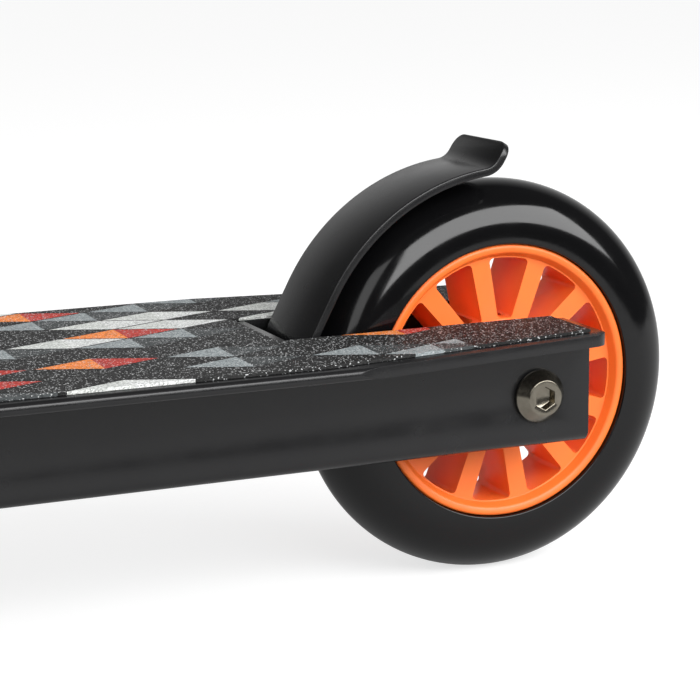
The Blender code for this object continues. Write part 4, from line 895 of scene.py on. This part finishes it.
def makeHeadTube():
    h = headTube
    low, high, edge = h["low"], h["high"], h["edge"]
    inStem("head_tube_turned", [
        (h["seat"], low), (h["radius"], low, edge), (h["radius"], high, edge), (h["seat"], high),
        (h["seat"], high - h["seatDepth"]), (h["bore"], high - h["seatDepth"]),
        (h["bore"], low + h["seatDepth"]), (h["seat"], low + h["seatDepth"])],
        "frame", "black_alloy", ["head_tube"], sides=128)


makeNeck()
makeGusset()
makeHeadTube()
print("neck and head tube made")


# fork, with heights along the steering line
fork = {
    "crownLow": 55, "crownHigh": 73, "crownLength": 21, "crownHalf": 23.5, "crownCorner": 8,
    "legIn": 15.5, "legOut": 21.5, "legTop": 69, "legTopHalf": 19,
    "offset": 28, "dropout": 13, "dropoutLevel": 4.45, "dropoutHalf": 12.2, "edge": 1.0,
    "steerer": 14.3, "steererWall": 2.3, "steererFloor": 77, "steererTop": 262, "axleHole": 4.2,
    "bead": 1.3, "weldRear": -11, "weldFront": 20, "holeReach": 40, "steererSunk": 6,
}


def makeFork():
    f = fork
    crown = addBox("fork_weldment", Vector((-f["crownLength"], -f["crownHalf"], f["crownLow"])) * mm,
                   Vector((f["crownLength"], f["crownHalf"], f["crownHigh"])) * mm)
    bevelEdges(crown, f["crownCorner"] * mm, 8, runsAlong(2))
    for word, side in (("left", 1), ("right", -1)):
        near, far = sorted((side * f["legIn"], side * f["legOut"]))
        leg = addBox("leg", Vector((f["offset"] - f["dropoutHalf"], near, f["dropoutLevel"])) * mm,
                     Vector((f["offset"] + f["dropoutHalf"], far, f["legTop"])) * mm)
        choose(leg, "VERT", lambda point: point.co.z > f["crownLow"] * mm)
        bpy.ops.transform.resize(value=(f["legTopHalf"] / f["dropoutHalf"], 1, 1),
                                 center_override=(f["offset"] * mm, 0, 0))
        bpy.ops.transform.translate(value=(-f["offset"] * mm, 0, 0))
        editDone()
        combine(leg, addRod("dropout", f["dropout"] * mm, Vector((f["offset"], near, 0)) * mm,
                            Vector((f["offset"], far, 0)) * mm, 96), "UNION")
        combine(crown, leg, "UNION")
        edges = [(f["weldRear"], near), (f["weldFront"], near), (f["weldFront"], far),
                 (f["weldRear"], far)]
        weldBead("fork_leg_weld_" + word, "steering",
                 [inSteering @ Vector((x * mm, y * mm, f["crownLow"] * mm)) for x, y in edges],
                 f["bead"])
    combine(crown, addPost("steerer", f["steerer"], f["crownHigh"] - f["steererSunk"],
                           f["steererTop"], 96), "UNION")
    combine(crown, addPost("bore", f["steerer"] - f["steererWall"], f["steererFloor"],
                           f["steererTop"] + 5, 96))
    combine(crown, addRod("hole", f["axleHole"] * mm, Vector((f["offset"], -f["holeReach"], 0)) * mm,
                          Vector((f["offset"], f["holeReach"], 0)) * mm))
    breakEdges(crown, f["edge"] * mm, 3)
    finished(settle(crown, inSteering), "steering", "black_alloy", ["fork"])


# headset cap, crown race and the split shim under the bar
headset = {
    "play": 0.25, "raceLow": 73.15, "raceHigh": 78.85, "raceFoot": 19.5, "raceTop": 17.7,
    "capLow": 187.3, "capRim": 188.8, "capHigh": 194.3, "cap": 24.5, "capTop": 18.95,
    "shimLow": 194.45, "shimStep": 196.45, "shimHigh": 264, "shimFoot": 17.45, "shim": 15.95,
    "slitLow": (-30, -1.5, 190), "slitHigh": (0, 1.5, 270),
}


def makeHeadset():
    h = headset
    bore = fork["steerer"] + h["play"]
    inStem("crown_race_ring", [
        (bore, h["raceLow"]), (h["raceFoot"], h["raceLow"], 0.4), (h["raceTop"], h["raceHigh"], 0.3),
        (bore, h["raceHigh"])], "steering", "bearing_steel", ["crown_race"])
    inStem("headset_top_cap", [
        (bore, h["capLow"]), (h["cap"], h["capLow"], 0.3), (h["cap"], h["capRim"], 0.5),
        (h["capTop"], h["capHigh"], 1.2), (bore, h["capHigh"])],
        "steering", "black_plastic", ["headset_cap"])
    shim = turned("split_shim", sized([
        (bore, h["shimLow"]), (h["shimFoot"], h["shimLow"]), (h["shimFoot"], h["shimStep"]),
        (h["shim"], h["shimStep"]), (h["shim"], h["shimHigh"]), (bore, h["shimHigh"])]))
    combine(shim, addBox("slit", Vector(h["slitLow"]) * mm, Vector(h["slitHigh"]) * mm))
    finished(settle(shim, inSteering), "steering", "bearing_steel", ["steerer_shim"])


# handlebar
bar = {
    "low": 196.6, "top": 713.1, "riser": 17.45, "bore": 16.15, "boreTop": 686.9,
    "level": 700, "crossbar": 11.1, "crossbarBore": 9.0, "core": 30, "half": 255,
    "brace": 8.0, "braceFoot": 595, "braceReach": 100, "slitHalf": 1.5, "slitLength": 55,
    "edge": 1.2, "bead": 1.5,
}


def makeBar():
    b = bar
    upright = Vector((0, 0, 1))
    level = Vector((0, 0, b["level"] * mm))
    foot = Vector((0, 0, b["braceFoot"] * mm))
    riser = addPost("handlebar_tubes", b["riser"], b["low"], b["top"], 128)
    bevelEdges(riser, b["edge"] * mm, 4,
               lambda edge: all(point.co.z > b["top"] * mm - 1e-4 for point in edge.verts))
    reach = Vector((0, b["half"] * mm, 0))
    combine(riser, addRod("crossbar", b["crossbar"] * mm, level - reach, level + reach, 96), "UNION")
    for side in (1, -1):
        end = level + Vector((0, side * b["braceReach"] * mm, 0))
        combine(riser, addRod("brace", b["brace"] * mm, foot, end, 64), "UNION")
    combine(riser, addPost("bore", b["bore"], b["low"] - 5, b["boreTop"], 128))
    for side in (1, -1):
        combine(riser, addRod("bore", b["crossbarBore"] * mm,
                              level + Vector((0, side * b["core"] * mm, 0)),
                              level + 1.02 * side * reach, 96))
    combine(riser, addBox("slit", Vector((-40, -b["slitHalf"], b["low"] - 5)) * mm,
                          Vector((0, b["slitHalf"], b["low"] + b["slitLength"])) * mm))
    finished(settle(riser, inSteering), "steering", "black_steel", ["handlebar"])
    around = [2 * math.pi * k / 48 for k in range(48)]
    for word, side in (("left", 1), ("right", -1)):
        saddle = []
        for angle in around:
            x = b["crossbar"] * math.cos(angle)
            saddle.append(Vector((x, side * math.sqrt(b["riser"] ** 2 - x ** 2),
                                  b["level"] + b["crossbar"] * math.sin(angle))) * mm)
        end = level + Vector((0, side * b["braceReach"] * mm, 0))
        along = (end - foot).normalized()
        across = along.cross(Vector((1, 0, 0)))
        low, high = [], []
        for angle in around:
            offset = b["brace"] * mm * (Vector((math.cos(angle), 0, 0)) + across * math.sin(angle))
            low.append(tubeHit(end + offset, -along, foot, upright, b["riser"] * mm))
            high.append(tubeHit(foot + offset, along, level, Vector((0, 1, 0)), b["crossbar"] * mm))
        for spot, line in (("crossbar", saddle), ("brace_foot", low), ("brace_top", high)):
            weldBead("%s_weld_%s" % (spot, word), "steering", [inSteering @ point for point in line],
                     b["bead"])


# clamp round the bar's foot
clamp = {
    "low": 198.6, "high": 244.6, "radius": 23.05, "bore": 17.65, "ear": 32.55, "earHalf": 10.5,
    "slotHalf": 1.2, "edge": 0.9, "boltX": -27.8, "boltHole": 3.15, "boltShares": (0.25, 0.75),
    "boltHead": 5.0, "boltShaft": 3.0, "headHeight": 6.0, "seat": 0.15, "tail": 1.5,
    "socket": 5.0, "socketDepth": 3.0, "tip": 0.5, "boltEdge": 0.12,
}


def makeClamp():
    c = clamp
    low, high = c["low"] * mm, c["high"] * mm
    collar = addPost("clamp_collar", c["radius"], c["low"], c["high"], 128)
    combine(collar, addBox("ear", (-c["ear"] * mm, -c["earHalf"] * mm, low),
                           (-c["bore"] * mm, c["earHalf"] * mm, high)), "UNION")
    breakEdges(collar, c["edge"] * mm, 3)
    combine(collar, addPost("bore", c["bore"], c["low"] - 1, c["high"] + 1, 128))
    combine(collar, addBox("slot", (-40 * mm, -c["slotHalf"] * mm, low - mm),
                           (-mm, c["slotHalf"] * mm, high + mm)))
    head = c["earHalf"] + c["seat"]
    face = head + c["headHeight"]
    tail = -c["earHalf"] - c["tail"]
    for number, share in enumerate(c["boltShares"], 1):
        level = c["low"] + share * (c["high"] - c["low"])
        spot = Matrix.Translation(Vector((c["boltX"], 0, level)) * mm) @ axleTurn
        combine(collar, settle(addPost("hole", c["boltHole"], -20, 20, 48), spot))
        bolt = lathe("clamp_cap_screw_%d" % number, [
            (1, face), (c["boltHead"], face, 0.6), (c["boltHead"], head), (c["boltShaft"], head),
            (c["boltShaft"], tail + c["tip"]), (c["boltShaft"] - c["tip"], tail)], 64, ring=False)
        combine(bolt, addHexagon("socket", c["socket"], face - c["socketDepth"], face + 1))
        breakEdges(bolt, c["boltEdge"] * mm)
        finished(settle(bolt, inSteering @ spot), "steering", "bolt_steel",
                 ["clamp_bolt_%d" % number])
    finished(settle(collar, inSteering), "steering", "black_alloy", ["bar_clamp"])


# grips and bar end plugs
grip = {
    "start": 135.0, "end": 254.4, "bore": 11.45, "radius": 15.5, "flange": 20.0,
    "flangeWidth": 4.0, "plain": 4.0, "zones": 4, "ribs": 8, "ribDepth": 0.5, "groove": 1.2,
    "plugStem": 8.85, "plugStart": 237.15, "plugBase": 255.15, "plugFace": 260.15, "crown": 3.0,
}


def makeGrips():
    g = grip
    first = g["start"] + g["flangeWidth"] + g["plain"]
    zone = (g["end"] - g["plain"] - first) / g["zones"]
    pitch = zone / g["ribs"]
    points = [(g["bore"], g["start"]), (g["flange"], g["start"], 1.0),
              (g["flange"], g["start"] + g["flangeWidth"], 1.4),
              (g["radius"], g["start"] + g["flangeWidth"] + 1, 0.6)]
    # fine ribs run round the grip, and a deeper groove lies in the middle of each zone
    for k in range(g["zones"] * g["ribs"]):
        low = first + k * pitch
        turn = k % g["ribs"] - g["ribs"] // 2
        if turn == -1:
            points += [(g["radius"], low + 0.2), (g["radius"] - g["groove"], low + pitch)]
        elif turn == 0:
            points += [(g["radius"], low + pitch - 0.2)]
        else:
            depth = g["radius"] - g["ribDepth"]
            points += [(depth, low), (g["radius"], low + 0.5), (g["radius"], low + pitch - 0.9),
                       (depth, low + pitch - 0.4)]
    points += [(g["radius"], first + g["zones"] * zone), (g["radius"], g["end"], 1.0),
               (g["bore"], g["end"])]
    sleeve = lathe("sleeve", points, 64)
    plug = lathe("plug", [
        (g["plugStem"], g["plugStart"]), (g["plugStem"], g["plugBase"]), (g["radius"], g["plugBase"]),
        (g["radius"], g["plugFace"], g["crown"]), (1, g["plugFace"])], 64, ring=False)
    spot = inSteering @ Matrix.Translation((0, 0, bar["level"] * mm))
    for side, turn in (("left", Matrix()), ("right", Matrix.Rotation(math.pi, 4, "Z"))):
        place = spot @ turn @ axleTurn
        finished(copied(sleeve, "ribbed_grip_" + side, place), "steering", "black_rubber",
                 ["grip_" + side])
        finished(copied(plug, "end_plug_" + side, place), "steering", "black_rubber",
                 ["bar_end_plug_" + side])
    for piece in (sleeve, plug):
        bpy.data.objects.remove(piece, do_unlink=True)


makeFork()
makeHeadset()
makeAxleSet("front", frontAxle, "steering", fork["legOut"], fork["legIn"])
print("fork made")
makeBar()
makeClamp()
makeGrips()
print("handlebar made")

# camera at the photograph's place
camera = {
    "place": (-0.05191, 0.46131, 0.16139), "turn": 23.533, "tilt": 11.462, "roll": -0.529,
    "focal": 106.93, "sensor": 36.0,
}
lens = bpy.data.cameras.new("camera")
lens.lens = camera["focal"]
lens.sensor_width = camera["sensor"]
lens.clip_start = 0.01
eye = addObject("camera", lens)
eye.matrix_world = (
    Matrix.Translation(camera["place"])
    @ Matrix.Rotation(math.radians(180 - camera["turn"]), 4, "Z")
    @ Matrix.Rotation(math.radians(90 - camera["tilt"]), 4, "X")
    @ Matrix.Rotation(math.radians(camera["roll"]), 4, "Z"))
bpy.context.scene.camera = eye

# studio: white paper, a white backdrop, a dim room, one large softbox and one narrow light
studio = {
    "paper": "#B4B4B4", "paperGlow": 0.66, "paperSheen": 0.10,
    "paperLow": (-15, -30), "paperHigh": (15, 0.33),
    "backdropTurn": 242, "backdropEdge": 0.55, "backdrop": 0.65, "dark": 0.05, "room": 0.62,
    "lampAim": (-0.29, 0, 0.09),
    "lamps": {
        "softbox": {"place": (-0.80, 1.04, 0.68), "size": (1.59, 0.82), "power": 25.0},
        "strip_light": {"place": (0.46, 1.03, 0.68), "size": (0.45, 0.75), "power": 1.9},
    },
}


def clearRays(tree):
    # what tells the kinds of rays, and one value for camera and transmission rays
    rays = addNode(tree, "LightPath").node.outputs
    return rays, addNode(tree, "Math", {0: rays["Is Camera Ray"], 1: rays["Is Transmission Ray"]},
                         operation="MAXIMUM")


def makeStudio():
    s = studio
    bpy.ops.mesh.primitive_plane_add(size=1)
    paper = newest("paper_floor")
    spanX, spanY = [high - low for low, high in zip(s["paperLow"], s["paperHigh"])]
    middle = [(high + low) / 2 for low, high in zip(s["paperLow"], s["paperHigh"])]
    paper.data.transform(Matrix.Translation((*middle, 0)) @ Matrix.Diagonal((spanX, spanY, 1, 1)))
    sheet, tree = newMaterial("white_paper", {
        "Base Color": linear(s["paper"]), "Roughness": 0.9, "Specular IOR Level": 0.0})[:2]
    # camera and transmission rays see the paper as white, and glossy rays see it a little brighter
    rays, clear = clearRays(tree)
    seen = addNode(tree, "Math", {0: clear, 1: s["paperGlow"]}, operation="MULTIPLY")
    glow = addNode(tree, "Emission", {"Strength": addNode(tree, "Math", {
        0: rays["Is Glossy Ray"], 1: s["paperSheen"], 2: seen}, operation="MULTIPLY_ADD")})
    both = addNode(tree, "AddShader", {0: tree.nodes["Principled BSDF"].outputs["BSDF"], 1: glow})
    tree.links.new(both, tree.nodes["Material Output"].inputs["Surface"])
    paper.data.materials.append(sheet)
    world = bpy.data.worlds.new("studio")
    bpy.context.scene.world = world
    world.use_nodes = True
    tree = world.node_tree
    tree.nodes.clear()
    rays, clear = clearRays(tree)
    way = addNode(tree, "TexCoord", out="Generated")
    turn = math.radians(s["backdropTurn"])
    facing = addNode(tree, "VectorMath", {0: way, 1: (math.cos(turn), math.sin(turn), 0)}, "Value",
                     operation="DOT_PRODUCT")
    backdrop = addNode(tree, "MapRange", {
        "Value": facing, "From Min": s["backdropEdge"], "From Max": 1.0,
        "To Min": s["dark"], "To Max": s["backdrop"]})
    glossy = addNode(tree, "Mix", {0: rays["Is Glossy Ray"], 2: s["room"], 3: backdrop})
    strength = addNode(tree, "Mix", {0: clear, 2: glossy, 3: 1.0})
    sky = addNode(tree, "Background", {"Color": (1, 1, 1, 1), "Strength": strength})
    addNode(tree, "OutputWorld", {"Surface": sky})
    for name, values in s["lamps"].items():
        lamp = bpy.data.lights.new(name, "AREA")
        lamp.shape = "RECTANGLE"
        lamp.size, lamp.size_y = values["size"]
        lamp.energy = values["power"]
        holder = addObject(name, lamp)
        holder.location = values["place"]
        aim = Vector(s["lampAim"]) - Vector(values["place"])
        holder.rotation_euler = aim.to_track_quat("-Z", "Y").to_euler()


makeStudio()
bpy.context.scene.view_settings.view_transform = "Standard"
print("studio made")
